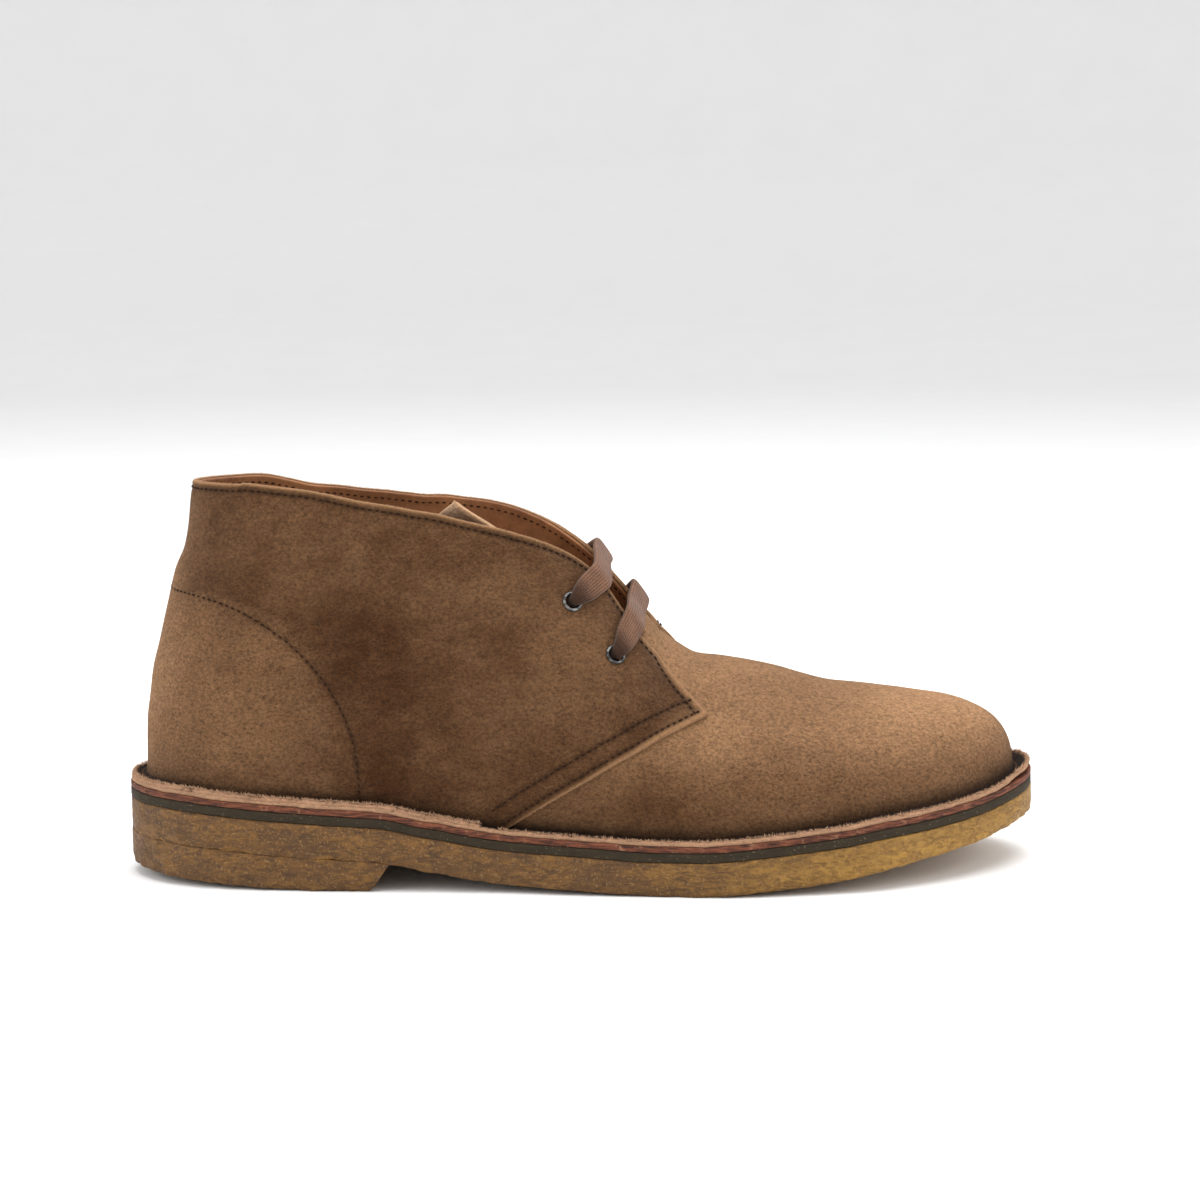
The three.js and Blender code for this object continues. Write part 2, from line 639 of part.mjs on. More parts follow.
// The tongue: a sheet from under the vamp's edge back to its top, one corner up at the collar.
function tongueGeometry() {
  const along = column(tongue, 'along', 'run');
  const height = column(tongue, 'height', 'run');
  const crown = column(tongue, 'crown', 'run');
  const tilt = column(tongue, 'tilt', 'run');
  const half = column(tongue, 'half', 'run');
  const rows = 12;
  const across = 10;
  const place = (run, u) => new THREE.Vector3(
    along(run) * lastLength,
    tongueCentre + (u * half(run) * tongueWidth) / 2,
    featherLevel(along(run)) + shaftHeight * (height(run) - crown(run) * u * u - tilt(run) * u),
  );
  const grid = Array.from({ length: rows + 1 }, (_, i) =>
    Array.from({ length: across + 1 }, (_, j) => place(i / rows, (2 * j) / across - 1)));
  const normals = gridNormals(grid);
  const face = (off) => grid.map((row, i) => row.map((p, j) => p.clone().addScaledVector(normals[i][j], off)));
  const [over, under] = [face(tongueThickness / 2), face(-tongueThickness / 2)];
  const rings = over.map((row, i) => [...row, ...[...under[i]].reverse()]);
  const triangles = [];
  const count = rings[0].length;
  for (let i = 1; i < rings.length; i += 1) {
    for (let j = 0; j < count; j += 1) {
      const k = (j + 1) % count;
      triangles.push(...quad(rings[i - 1][j], rings[i][j], rings[i][k], rings[i - 1][k]));
    }
  }
  for (let j = 1; j <= across; j += 1) {
    triangles.push(...quad(over[0][j - 1], over[0][j], under[0][j], under[0][j - 1]));
    triangles.push(...quad(over[rows][j - 1], under[rows][j - 1], under[rows][j], over[rows][j]));
  }
  return closedGeometry(triangles);
}

// A lace bar: a flat cord from the mouth of one eyelet over the throat to the other.
function laceGeometry(row, bar) {
  const over = quarterStep + laceGap + laceThickness / 2;
  const mouth = over + flangeGap + flangeMetal + laceGap / 3;
  const stops = ['lateral', 'medial'].map((side) => {
    const between = (share) => ['along', 'height'].map((name) => mix(row[side][name], bar[side][name], share));
    return [
      [side, ...between(-0.1), mouth, 0.5],
      [side, ...between(0.3), mouth, 0.75],
      [side, ...between(0.65), over + laceGap, 0.95],
      [side, ...between(1), over, 1],
    ];
  });
  stops[0].push(['middle', bar.middle.along, bar.middle.height, 0, 1]);
  const route = [...stops[0], ...stops[1].reverse()];
  const points = route.map(([side, along, height, off]) => {
    if (side !== 'middle') return offPoint(along, height, side === 'lateral' ? -1 : 1, off).point;
    const level = featherLevel(along) + shaftHeight * height;
    return new THREE.Vector3(along * lastLength, ballWidth * planRidge(along), level);
  });
  const path = new THREE.CatmullRomCurve3(points, false, 'centripetal');
  const steps = 28;
  const throat = new THREE.Vector3(-1, 0, laceSlope).normalize();
  const rings = Array.from({ length: steps + 1 }, (_, i) => {
    const t = i / steps;
    const spot = t * (route.length - 1);
    const from = Math.min(Math.floor(spot), route.length - 2);
    const width = laceWidth * mix(route[from][4], route[from + 1][4], spot - from);
    const centre = path.getPoint(t);
    const tangent = path.getTangent(t);
    const across = throat.clone().addScaledVector(tangent, -throat.dot(tangent)).normalize();
    const out = new THREE.Vector3().crossVectors(across, tangent).normalize();
    const corners = [[1, 0.4], [0.82, 1], [-0.82, 1], [-1, 0.4], [-1, -0.4], [-0.82, -1], [0.82, -1], [1, -0.4]];
    return corners.map(([w, h]) => centre.clone()
      .addScaledVector(across, (w * width) / 2)
      .addScaledVector(out, (h * laceThickness) / 2));
  });
  return loft(rings, true, true);
}

const materials = {
  suede: new THREE.MeshStandardMaterial({ color: 0x8a6844, roughness: 0.95, metalness: 0 }),
  leather: new THREE.MeshStandardMaterial({ color: 0x7a4328, roughness: 0.6, metalness: 0 }),
  lining: new THREE.MeshStandardMaterial({ color: 0x8c5a34, roughness: 0.55, metalness: 0 }),
  rubber: new THREE.MeshStandardMaterial({ color: 0x4a463c, roughness: 0.8, metalness: 0 }),
  crepe: new THREE.MeshStandardMaterial({ color: 0xa37a40, roughness: 0.75, metalness: 0 }),
  cotton: new THREE.MeshStandardMaterial({ color: 0x6b4a40, roughness: 0.95, metalness: 0 }),
  metal: new THREE.MeshStandardMaterial({ color: 0x4c4f52, roughness: 0.35, metalness: 0.9 }),
};

const boot = new THREE.Group();
function add(name, geometry, material) {
  const mesh = new THREE.Mesh(geometry, material);
  mesh.name = name;
  boot.add(mesh);
}

const outsoleBevel = (x) => treadBevel * smooth(x, heelLength, heelLength + 3 * breastSlant);
const outsoleTop = (along) => midsoleLevel(along) - joint;
const midsoleTop = (along) => weltLevel(along) - joint;
const weltTop = (along) => featherLevel(along) - joint;
const insoleTop = (along) => featherLevel(along) + insoleThickness;
const insoleEdge = -vampWall - insoleGap;
add('crepe_heel', heelGeometry(), materials.crepe);
add('crepe_outsole', sheet(soleEdge, treadLevel, outsoleTop, outsoleBevel), materials.crepe);
add('midsole', sheet(soleEdge, midsoleLevel, midsoleTop), materials.rubber);
add('welt', sheet(soleEdge, weltLevel, weltTop), materials.leather);
add('insole', sheet(insoleEdge, featherLevel, insoleTop), materials.lining);
add('upper', upperGeometry(), materials.suede);
add('tongue', tongueGeometry(), materials.suede);
eyeletPlaces().forEach(({ name, matrix }) => add(name, eyeletGeometry(matrix), materials.metal));
eyelets.forEach((row, i) => add(`lace_bar_${row.name}`, laceGeometry(row, laceBars[i]), materials.cotton));

// The origin is the middle of the boot's footprint, on the floor.
const box = new THREE.Box3().setFromObject(boot);
const middle = box.getCenter(new THREE.Vector3());
boot.position.set(-middle.x, -middle.y, -box.min.z);

const scene = new THREE.Group();
scene.add(boot);
export default scene;
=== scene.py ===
# %% [markdown]
# # A suede desert boot
# This script dresses a right desert boot. Its plain solids come from the CAD frame, and every visible
# piece here is a finer version of one of them, made in the same place: crepe sole, rubber and leather
# sheets, suede vamp and quarters, lining, tongue, eyelets, flat lace and all the stitching.

# %% The frame and its box
import math

import bmesh
import bpy
import numpy as np
from mathutils import Matrix, Vector


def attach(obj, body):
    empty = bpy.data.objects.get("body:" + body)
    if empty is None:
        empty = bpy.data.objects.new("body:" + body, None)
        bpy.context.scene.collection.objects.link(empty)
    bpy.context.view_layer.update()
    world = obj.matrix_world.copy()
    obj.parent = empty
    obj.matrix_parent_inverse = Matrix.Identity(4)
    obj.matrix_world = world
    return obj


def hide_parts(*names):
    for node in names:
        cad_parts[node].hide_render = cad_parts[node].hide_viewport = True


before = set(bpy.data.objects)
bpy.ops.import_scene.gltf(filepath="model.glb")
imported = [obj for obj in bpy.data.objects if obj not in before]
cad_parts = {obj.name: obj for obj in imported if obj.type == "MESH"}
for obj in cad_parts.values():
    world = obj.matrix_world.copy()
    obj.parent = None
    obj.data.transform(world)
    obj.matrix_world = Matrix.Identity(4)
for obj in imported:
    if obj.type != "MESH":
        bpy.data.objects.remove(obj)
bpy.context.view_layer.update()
print("nodes:", ", ".join(sorted(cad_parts)))

# %% [markdown]
# ## Camera first
# The photograph was taken from the outer side of the boot, a little above it, with a long lens. The
# camera stands 0.96 m away, looks eight degrees down, and is rolled by two thirds of a degree.

# %% Camera
MM = 0.001
PHOTO_WIDTH = 1200
FOCAL_PIXELS = 2935
CAMERA_PLACE = (6.4 * MM, -957.7 * MM, 222.0 * MM)
CAMERA_PITCH = math.radians(7.96)
CAMERA_ROLL = math.radians(-0.65)

scene = bpy.context.scene
camera = bpy.data.objects.new("camera", bpy.data.cameras.new("camera"))
scene.collection.objects.link(camera)
scene.camera = camera
camera.data.lens = camera.data.sensor_width * FOCAL_PIXELS / PHOTO_WIDTH
turn = Matrix.Rotation(math.pi / 2 - CAMERA_PITCH, 4, "X") @ Matrix.Rotation(CAMERA_ROLL, 4, "Z")
camera.matrix_world = Matrix.Translation(CAMERA_PLACE) @ turn
print("lens", round(camera.data.lens, 1), "mm")

# %% [markdown]
# ## The last
# A shoe is built round a last, a foot-shaped block. Its plan, its top line and the swell of its walls
# are short tables of shares of a few real sizes, the same ones that the solids use. A smooth curve
# runs through each column. One function then gives any point of the last, and every leather piece is
# a patch of that one surface, lifted or sunk by its own thickness, so the pieces always fit.

# %% Named sizes, in millimetres
LAST_LENGTH = 288
HEEL_WIDTH = 66
BALL_WIDTH = 98.6
HEEL_ROUND = 46
TOE_ROUND = 62
SHAFT_HEIGHT = 98
COLLAR_SET_IN = 18
NOSE_ROUND = 24
HEEL_LIFT = 9.5
TOE_SPRING = 14.3
TOE_THINNING = 2.2
TOE_CURL = 1.4
OUTSOLE = 10.9
MIDSOLE = 2.9
WELT = 1.7
JOINT = 0.3
SOLE_EDGE = 6
HEEL_LENGTH = 82
BREAST_SLANT = 6
HEEL_FLAT = 56
HEEL_WEAR = 3.4
QUARTER_STEP = 1.2
WALL_FOOT = 0.5
QUARTER_TURN_END = 0.41
ORIGIN = np.array([-144.0, 2.2936, 0.0])
print("last:", LAST_LENGTH, "mm long,", BALL_WIDTH, "mm wide at the ball")


# %% Tables and the curves through them
def smooth(value, low, high):
    t = np.clip((np.asarray(value, float) - low) / (high - low), 0, 1)
    return t * t * (3 - 2 * t)


def curve(at, value):
    """A smooth curve through points that never swings past them."""
    at, value = np.asarray(at, float), np.asarray(value, float)
    slope = np.diff(value) / np.diff(at)
    before, after = np.r_[slope[0], slope], np.r_[slope, slope[-1]]
    product = before * after
    total = np.where(product > 0, before + after, 1)
    tangent = np.where(product > 0, 2 * product / total, 0)

    def through(x):
        x = np.asarray(x, float)
        i = np.clip(np.searchsorted(at, x, side="right") - 1, 0, len(at) - 2)
        width = at[i + 1] - at[i]
        rise = value[i + 1] - value[i]
        t = (x - at[i]) / width
        bend = (1 - t) * (tangent[i] * width - rise) - t * (tangent[i + 1] * width - rise)
        inside = value[i] + t * rise + t * (1 - t) * bend
        low = value[0] + tangent[0] * (x - at[0])
        high = value[-1] + tangent[-1] * (x - at[-1])
        return np.where(x <= at[0], low, np.where(x >= at[-1], high, inside))

    return through


def table(names, rows):
    """One curve for each named column, over the first column."""
    columns = np.array(sorted(rows)).T
    return {name: curve(columns[0], column) for name, column in zip(names.split()[1:], columns[1:])}


plan = table("along heel ball centre ridge", [
    (0, 0.478, 0, -0.008, 0), (0.15, 0.48, 0, -0.01, 0), (0.25, 0.51, 0, -0.022, 0),
    (0.33, 0.44, 0.045, -0.04, 0.004), (0.41, 0.3, 0.149, -0.056, 0.014),
    (0.5, 0.14, 0.3, -0.062, 0.032), (0.6, 0.03, 0.425, -0.048, 0.045),
    (0.68, 0, 0.482, -0.028, 0.053), (0.8, 0, 0.462, 0.005, 0.064), (0.9, 0, 0.418, 0.045, 0.074),
    (1, 0, 0.385, 0.081, 0.081),
])
tread = table("along heel toe", [
    (0, 1.47, 0), (0.05, 1.43, 0), (0.1, 1.33, 0), (0.17, 1.17, 0), (0.27, 1, 0), (0.295, 0.885, 0),
    (0.318, 0.716, 0), (0.34, 0.62, 0), (0.363, 0.484, 0), (0.385, 0.38, 0), (0.407, 0.295, 0),
    (0.43, 0.24, 0), (0.474, 0.17, 0), (0.518, 0.1, 0), (0.555, 0.025, 0), (0.575, 0, 0),
    (0.632, 0, 0), (0.655, 0, 0.024), (0.694, 0, 0.097), (0.738, 0, 0.169), (0.783, 0, 0.264),
    (0.829, 0, 0.437), (0.876, 0, 0.569), (0.926, 0, 0.718), (0.96, 0, 0.836), (1, 0, 1),
])
ridge = table("along height square", [
    (0, 1.34, 5), (0.312, 1.38, 5), (0.375, 1.36, 4.4), (0.417, 1.3, 3.8), (0.451, 1.18, 3.3),
    (0.486, 1.03, 2.8), (0.521, 0.908, 2.45), (0.545, 0.824, 2.25), (0.567, 0.734, 2.2),
    (0.578, 0.678, 2.2), (0.585, 0.643, 2.2), (0.591, 0.62, 2.2), (0.602, 0.592, 2.2),
    (0.614, 0.567, 2.2), (0.631, 0.537, 2.2), (0.64, 0.53, 2.2), (0.66, 0.521, 2.2),
    (0.683, 0.504, 2.2), (0.706, 0.483, 2.2), (0.729, 0.459, 2.2), (0.7525, 0.431, 2.2),
    (0.7756, 0.406, 2.2), (0.799, 0.383, 2.2), (0.822, 0.364, 2.2), (0.845, 0.348, 2.25),
    (0.869, 0.333, 2.25), (0.892, 0.316, 2.3), (0.915, 0.3, 2.3), (0.938, 0.28, 2.35),
    (0.96, 0.262, 2.4), (0.98, 0.252, 2.4), (1, 0.24, 2.4),
])
girth = table("height shaft vamp lean", [
    (0, 1, 1, 0), (0.06, 1.028, 1.012, 0.045), (0.12, 1.045, 1.02, 0.055),
    (0.21, 1.04, 1.02, 0.078), (0.29, 1.02, 1.02, 0.144), (0.38, 0.99, 1.01, 0.217),
    (0.46, 0.957, 0.985, 0.328), (0.54, 0.925, 0.965, 0.433), (0.62, 0.89, 0.948, 0.539),
    (0.71, 0.86, 0.932, 0.667), (0.79, 0.828, 0.917, 0.85), (0.87, 0.797, 0.903, 0.935),
    (0.95, 0.772, 0.894, 0.983), (1, 0.76, 0.89, 1.02), (1.36, 0.7, 0.88, 1.2),
])
collar = table("along lateral medial", [
    (0.06, 1.015, 1.015), (0.075, 1.0215, 1.016), (0.117, 1.021, 1.005), (0.155, 1.0205, 0.995),
    (0.19, 1.0145, 0.995), (0.22, 1.005, 0.9905), (0.246, 0.997, 0.9875), (0.279, 0.9925, 0.9875),
    (0.3, 0.994, 0.993), (0.323, 0.998, 1.002), (0.351, 0.9945, 1.0125), (0.3895, 0.984, 1.0165),
    (0.4116, 0.9755, 1.01), (0.4305, 0.9625, 0.9965), (0.456, 0.939, 0.969), (0.478, 0.9106, 0.937),
    (0.5, 0.871, 0.895), (0.514, 0.838, 0.863),
])
facing = table("along lateral medial", [
    (0.5226, 0.8144, 0.8465), (0.536, 0.759, 0.792), (0.5469, 0.7135, 0.7574),
    (0.567, 0.632, 0.689), (0.589, 0.5535, 0.627), (0.611, 0.476, 0.545), (0.64, 0.3917, 0.432),
])
seam = table("along lateral medial", [
    (0.638, 0.386, 0.425), (0.5866, 0.3277, 0.353), (0.5419, 0.257, 0.271), (0.4973, 0.1742, 0.183),
    (0.4525, 0.0877, 0.09), (0.412, 0, 0),
])
tongue = table("run along height half crown tilt", [
    (0, 0.606, 0.531, 0.76, 0.06, -0.01), (0.1, 0.59, 0.567, 0.8, 0.052, -0.01),
    (0.2, 0.572, 0.612, 0.84, 0.04, -0.005), (0.32, 0.545, 0.66, 0.88, 0.028, 0),
    (0.43, 0.521, 0.703, 0.92, 0.018, 0.005), (0.58, 0.479, 0.78, 0.95, 0.008, 0.015),
    (0.74, 0.438, 0.868, 0.95, 0, 0.03), (0.86, 0.403, 0.93, 0.92, 0, 0.047),
    (1, 0.372, 0.975, 0.88, 0, 0.062),
])
print("the vamp's ridge at half length, as a share of the shaft:", round(float(ridge["height"](0.5)), 3))

# %% [markdown]
# ## Levels and the surface of the last
# The sheets of the sole lie one on the other, so each level is the one below it plus a thickness. The
# heel lifts them at the back and the toe spring in front. The last stands on the top one.

# %% Levels of the sole and the outline of the last
def tread_level(along):
    return HEEL_LIFT * tread["heel"](along) + TOE_SPRING * tread["toe"](along)


def midsole_level(along):
    return tread_level(along) + OUTSOLE - TOE_THINNING * smooth(along, 0.76, 0.95) + JOINT


def welt_level(along):
    return midsole_level(along) + MIDSOLE + JOINT


def feather_level(along):
    return welt_level(along) + WELT + JOINT


def rounded(distance, radius, power):
    t = 1 - np.clip(distance / radius, 0, 1)
    return (1 - t**power) ** (1 / power)


def outline(share, grow):
    """x, middle and half width of the last's outline, grown by a margin, at a share of its length."""
    x = -grow + (LAST_LENGTH + 2 * grow) * share
    ends = rounded(x + grow, HEEL_ROUND + grow, 2) * rounded(LAST_LENGTH + grow - x, TOE_ROUND + grow, 2.1)
    half = (HEEL_WIDTH * plan["heel"](share) + BALL_WIDTH * plan["ball"](share) + grow) * ends
    return x, BALL_WIDTH * plan["centre"](share), half


def even_shares(grow, first, last, count):
    """Shares whose points lie evenly along the outline, also round its ends."""
    dense = (1 - np.cos(np.pi * np.linspace(0, 1, 6001))) / 2
    x, middle, half = outline(dense, grow)
    run = np.r_[0, np.cumsum(np.hypot(np.diff(x), np.diff(middle - half)))]
    low, high = np.interp([first, last], dense, run)
    return np.interp(np.linspace(low, high, count), run, dense)


def last_top(along):
    return ridge["height"](along) * rounded(LAST_LENGTH * (1 - along), NOSE_ROUND, 2.4)


def last_point(along, height, side):
    """A point of the last from its share along, its height share and its side, -1 outer and 1 inner."""
    along, height = np.broadcast_arrays(np.asarray(along, float), np.asarray(height, float))
    top = last_top(along)
    rise = np.where(top > 0, np.minimum(height / np.maximum(top, 1e-9), 1), 0)
    power = ridge["square"](along)
    arch = (1 - rise**power) ** (1 / power)
    at_vamp = smooth(along, 0.45, 0.65)
    swell = girth["shaft"](height) * (1 - at_vamp) + girth["vamp"](height) * at_vamp
    x, middle, half = outline(along, 0)
    middle = middle + (BALL_WIDTH * plan["ridge"](along) - middle) * rise**2
    x = x + COLLAR_SET_IN * girth["lean"](height) * (1 - smooth(along, 0, 0.34))
    y = middle + side * half * swell * arch
    return np.stack([x, y, feather_level(along) + SHAFT_HEIGHT * height], -1)


print("last from x", ORIGIN[0], "to", ORIGIN[0] + LAST_LENGTH, "mm")


# %% [markdown]
# ## Edges of the quarters
# The collar, the facings and the front seam are drawn in side view. Each edge gives a height on the
# last for every share along it. Near the back, the shaft leans forward, so the height is searched.

# %% Where the collar and the seams run on the last
SIDES = {-1: "lateral", 1: "medial"}
COLLAR_FRONT = 0.514
FACING_TOP = 0.5226
QUARTER_FRONT = 0.640
SEAM_FOOT = 0.412


def collar_in_side_view(side):
    along = np.linspace(0.06, COLLAR_FRONT, 90)
    edge = last_point(along, collar[SIDES[side]](along), 1)
    return lambda x: np.interp(x, edge[:, 0], edge[:, 2])


HALVINGS = 30


def halved(low, high, is_past):
    """Close in, by halving, on the values between low and high where a test turns true."""
    for _ in range(HALVINGS):
        half = (low + high) / 2
        past = is_past(half)
        low, high = np.where(past, low, half), np.where(past, half, high)
    return low, high


def height_under(along, side, level):
    """The height share at which the last reaches a level that depends on x."""
    def is_above(height):
        x, _, z = np.moveaxis(last_point(along, height, side), -1, 0)
        return z > level(x)

    low, high = halved(np.full_like(along, 0.7), np.full_like(along, 1.2), is_above)
    return (low + high) / 2


def quarter_top(along, side):
    name = SIDES[side]
    back = height_under(along, side, collar_in_side_view(side))
    between = np.interp(
        along, [COLLAR_FRONT, FACING_TOP], [collar[name](COLLAR_FRONT), facing[name](FACING_TOP)]
    )
    front = facing[name](along)
    return np.where(along < COLLAR_FRONT, back, np.where(along < FACING_TOP, between, front))


def quarter_foot(along, side):
    foot = WALL_FOOT / SHAFT_HEIGHT
    return np.where(along < SEAM_FOOT, foot, np.maximum(seam[SIDES[side]](along), foot))


check = quarter_top(np.array([0.0, 0.2, 0.4, 0.6]), -1)
print("outer quarter's top, as shares of the shaft:", check.round(3))


# %% [markdown]
# ## Patches
# A patch is a grid of points on the last with the outward normal at each point. It is made into a
# leather piece by walking round its section at every station: up the outer face, over the edge and
# down the inner face. That gives one closed skin with rounded, cut edges.

# %% Grids, normals and closed skins
def grid_normals(points):
    """Normals of a grid of points, stations first and rows second."""
    normals = np.cross(np.gradient(points, axis=0), np.gradient(points, axis=1))
    size = np.linalg.norm(normals, axis=-1, keepdims=True)
    return normals / np.maximum(size, 1e-9)


def mesh_piece(name, vertices, faces, values=None, uv=None):
    """A smooth-shaded object in the frame, from points in millimetres on the last."""
    mesh = bpy.data.meshes.new(name)
    mesh.from_pydata(((vertices + ORIGIN) * MM).tolist(), [], faces)
    for key, value in (values or {}).items():
        attribute = mesh.attributes.new(key, "FLOAT", "POINT")
        attribute.data.foreach_set("value", np.asarray(value, np.float32).ravel())
    if uv is not None:
        corners = np.empty(len(mesh.loops), np.int32)
        mesh.loops.foreach_get("vertex_index", corners)
        layer = mesh.uv_layers.new(name="UVMap")
        layer.data.foreach_set("uv", np.asarray(uv, np.float32)[corners].ravel())
    grown = bmesh.new()
    grown.from_mesh(mesh)
    bmesh.ops.remove_doubles(grown, verts=grown.verts, dist=1e-6)
    bmesh.ops.recalc_face_normals(grown, faces=grown.faces)
    grown.to_mesh(mesh)
    grown.free()
    mesh.polygons.foreach_set("use_smooth", [True] * len(mesh.polygons))
    piece = bpy.data.objects.new(name, mesh)
    scene.collection.objects.link(piece)
    return piece


def ring_faces(stations, count, closed_run=False):
    """Quads that join rings of points: each ring closes on itself, the run of rings may close too."""
    i = np.arange(stations if closed_run else stations - 1)
    a = (i * count)[:, None] + np.arange(count)[None]
    b = (((i + 1) % stations) * count)[:, None] + np.arange(count)[None]
    corners = np.stack([a, b, np.roll(b, -1, 1), np.roll(a, -1, 1)], -1)
    return corners.reshape(-1, 4).tolist()


def end_caps(stations, count):
    """The first and the last ring as faces, turned away from each other."""
    return [list(range(count)), list(range((stations - 1) * count, stations * count))[::-1]]


def mirrored(grid):
    """The columns of a grid followed by the same columns backwards."""
    return np.concatenate([grid, grid[:, ::-1]], 1)


def patch_faces(stations, count, first=0):
    """Quads of an open grid of points, one row of quads for each pair of stations."""
    index = first + np.arange(stations * count).reshape(stations, count)
    return np.stack([index[:-1, :-1], index[1:, :-1], index[1:, 1:], index[:-1, 1:]], -1)


NOISE_CELLS = 32


def lattice_noise(points, cell, seed):
    """Smooth random numbers from -1 to 1 in space, with bumps about as large as a cell."""
    grid = np.random.default_rng(seed).random((NOISE_CELLS,) * 3) * 2 - 1
    scaled = np.asarray(points, float) / cell
    base = np.floor(scaled).astype(int)
    t = scaled - base
    t = t * t * (3 - 2 * t)
    total = np.zeros(scaled.shape[:-1])
    for corner in np.ndindex(2, 2, 2):
        weight = np.prod(np.where(corner, t, 1 - t), -1)
        i, j, k = np.moveaxis((base + corner) % NOISE_CELLS, -1, 0)
        total += weight * grid[i, j, k]
    return total


def lumps_of(points, bumps):
    """A sum of noises from a table of cell, height and seed."""
    return sum(size * lattice_noise(points, cell, seed) for cell, size, seed in bumps)


check = lattice_noise(np.array([[1.0, 2.0, 3.0], [1.5, 2.0, 3.0]]), 5, 1)
print("noise at two near points:", check.round(3))

# %% [markdown]
# ## Quarters
# The quarters are the suede sides that carry the eyelets. Here they are one strip that runs from the
# outer front corner, round the heel, to the inner front corner. Its stations lie evenly along the
# outline, so the mesh is even round the heel. Shallow grooves are pressed in where thread will lie.

# %% A flat map of the quarters: run along the boot, height over the feather line
QUARTER_STATIONS = 211
quarter_shares = even_shares(0, 0, QUARTER_FRONT, QUARTER_STATIONS)
foot_x, foot_middle, foot_half = outline(quarter_shares, 0)
half_run = np.r_[0, np.cumsum(np.hypot(np.diff(foot_x), np.diff(foot_middle - foot_half)))]
print("a quarter runs", round(float(half_run[-1]), 1), "mm from heel to front corner")


def share_to_run(along, side):
    return side * np.interp(along, quarter_shares, half_run)


def at_run(run, height_mm):
    """Point of the last for a signed run (outer side negative) and a height in millimetres."""
    run, height_mm = np.broadcast_arrays(np.asarray(run, float), np.asarray(height_mm, float))
    along = np.interp(np.abs(run), half_run, quarter_shares)
    return last_point(along, height_mm / SHAFT_HEIGHT, np.where(run < 0, -1, 1))


def steps_at(run, height):
    """How the point on the last moves for a millimetre of run and for one of height."""
    by_run = at_run(run + 0.5, height) - at_run(run - 0.5, height)
    by_height = at_run(run, height + 0.5) - at_run(run, height - 0.5)
    return by_run, by_height


def place(run, height_mm, lift):
    """The same point lifted off the last, and the outward normal there."""
    ahead, above = steps_at(run, height_mm)
    normal = np.cross(above, ahead)
    normal /= np.maximum(np.linalg.norm(normal, axis=-1, keepdims=True), 1e-9)
    return at_run(run, height_mm) + normal * np.asarray(lift)[..., None], normal


def edge_run(edge, side, first, last):
    """A quarter's edge on the flat map, at every half millimetre."""
    along = np.linspace(first, last, 500)
    run = share_to_run(along, side)
    height = edge(along, side) * SHAFT_HEIGHT
    length = np.r_[0, np.cumsum(np.hypot(np.diff(run), np.diff(height)))]
    even = np.arange(0, length[-1], 0.5)
    return np.stack([np.interp(even, length, run), np.interp(even, length, height)], -1)


def beside(line, distance):
    """A line on the flat map moved sideways by real millimetres, to its left if positive."""
    ahead = np.gradient(line, axis=0)
    by_run, by_height = steps_at(line[:, 0], line[:, 1])
    a, b, c = (by_run**2).sum(-1), (by_run * by_height).sum(-1), (by_height**2).sum(-1)
    turned = np.stack([-c * ahead[:, 1] - b * ahead[:, 0], b * ahead[:, 1] + a * ahead[:, 0]], -1)
    size = np.sqrt(a * turned[:, 0] ** 2 + 2 * b * turned[:, 0] * turned[:, 1] + c * turned[:, 1] ** 2)
    return line + np.asarray(distance)[..., None] * turned / np.maximum(size, 1e-9)[:, None]


def clear_of(row, edge, gap):
    """The part of a row that keeps a real distance from an edge."""
    spots = at_run(row[:, 0], row[:, 1])
    other = at_run(edge[:, 0], edge[:, 1])
    nearest = np.linalg.norm(spots[:, None] - other[None], axis=-1).min(1)
    return row[nearest > gap]


# %% [markdown]
# ## Where the thread runs
# One row follows the collar, two follow the front seam and one crosses the heel counter. The rows are
# drawn on the flat map before the suede is made, because the thread pulls a shallow groove into it.

# %% Rows of stitching on the flat map
STITCH_INSET = 2.3
THROAT_INSET = 1.5
THROAT_STARTS = (0.545, 0.59)
ROW_GAP = 5.4
ROW_FOOT = 1.5
COUNTER_LINE = [
    (0.0, 0.652), (8, 0.651), (16, 0.647), (26, 0.633), (34.9, 0.6096), (41.5, 0.580), (47.8, 0.543),
    (52.8, 0.505), (57.4, 0.461), (61.6, 0.412), (65.2, 0.356), (67.9, 0.308), (69.8, 0.260),
    (71.2, 0.210), (71.9, 0.163), (72.4, 0.110), (72.6, 0.070), (72.7, 0.035),
]


def counter_row(side):
    """The single row over the heel counter: its x in side view is matched by searching the run."""
    goal_x, height = curve_points(COUNTER_LINE, 150)
    height = height * SHAFT_HEIGHT

    def is_ahead(run):
        return place(-run, height, QUARTER_STEP)[0][..., 0] > goal_x

    low, _ = halved(np.zeros_like(goal_x), np.full_like(goal_x, half_run[-1]), is_ahead)
    return np.stack([side * low, height], -1)


def curve_points(points, count):
    points = np.array(points, float)
    length = np.r_[0, np.cumsum(np.hypot(*(np.diff(points, axis=0) * [1, SHAFT_HEIGHT]).T))]
    even = np.linspace(0, length[-1], count)
    return curve(length, points[:, 0])(even), curve(length, points[:, 1])(even)


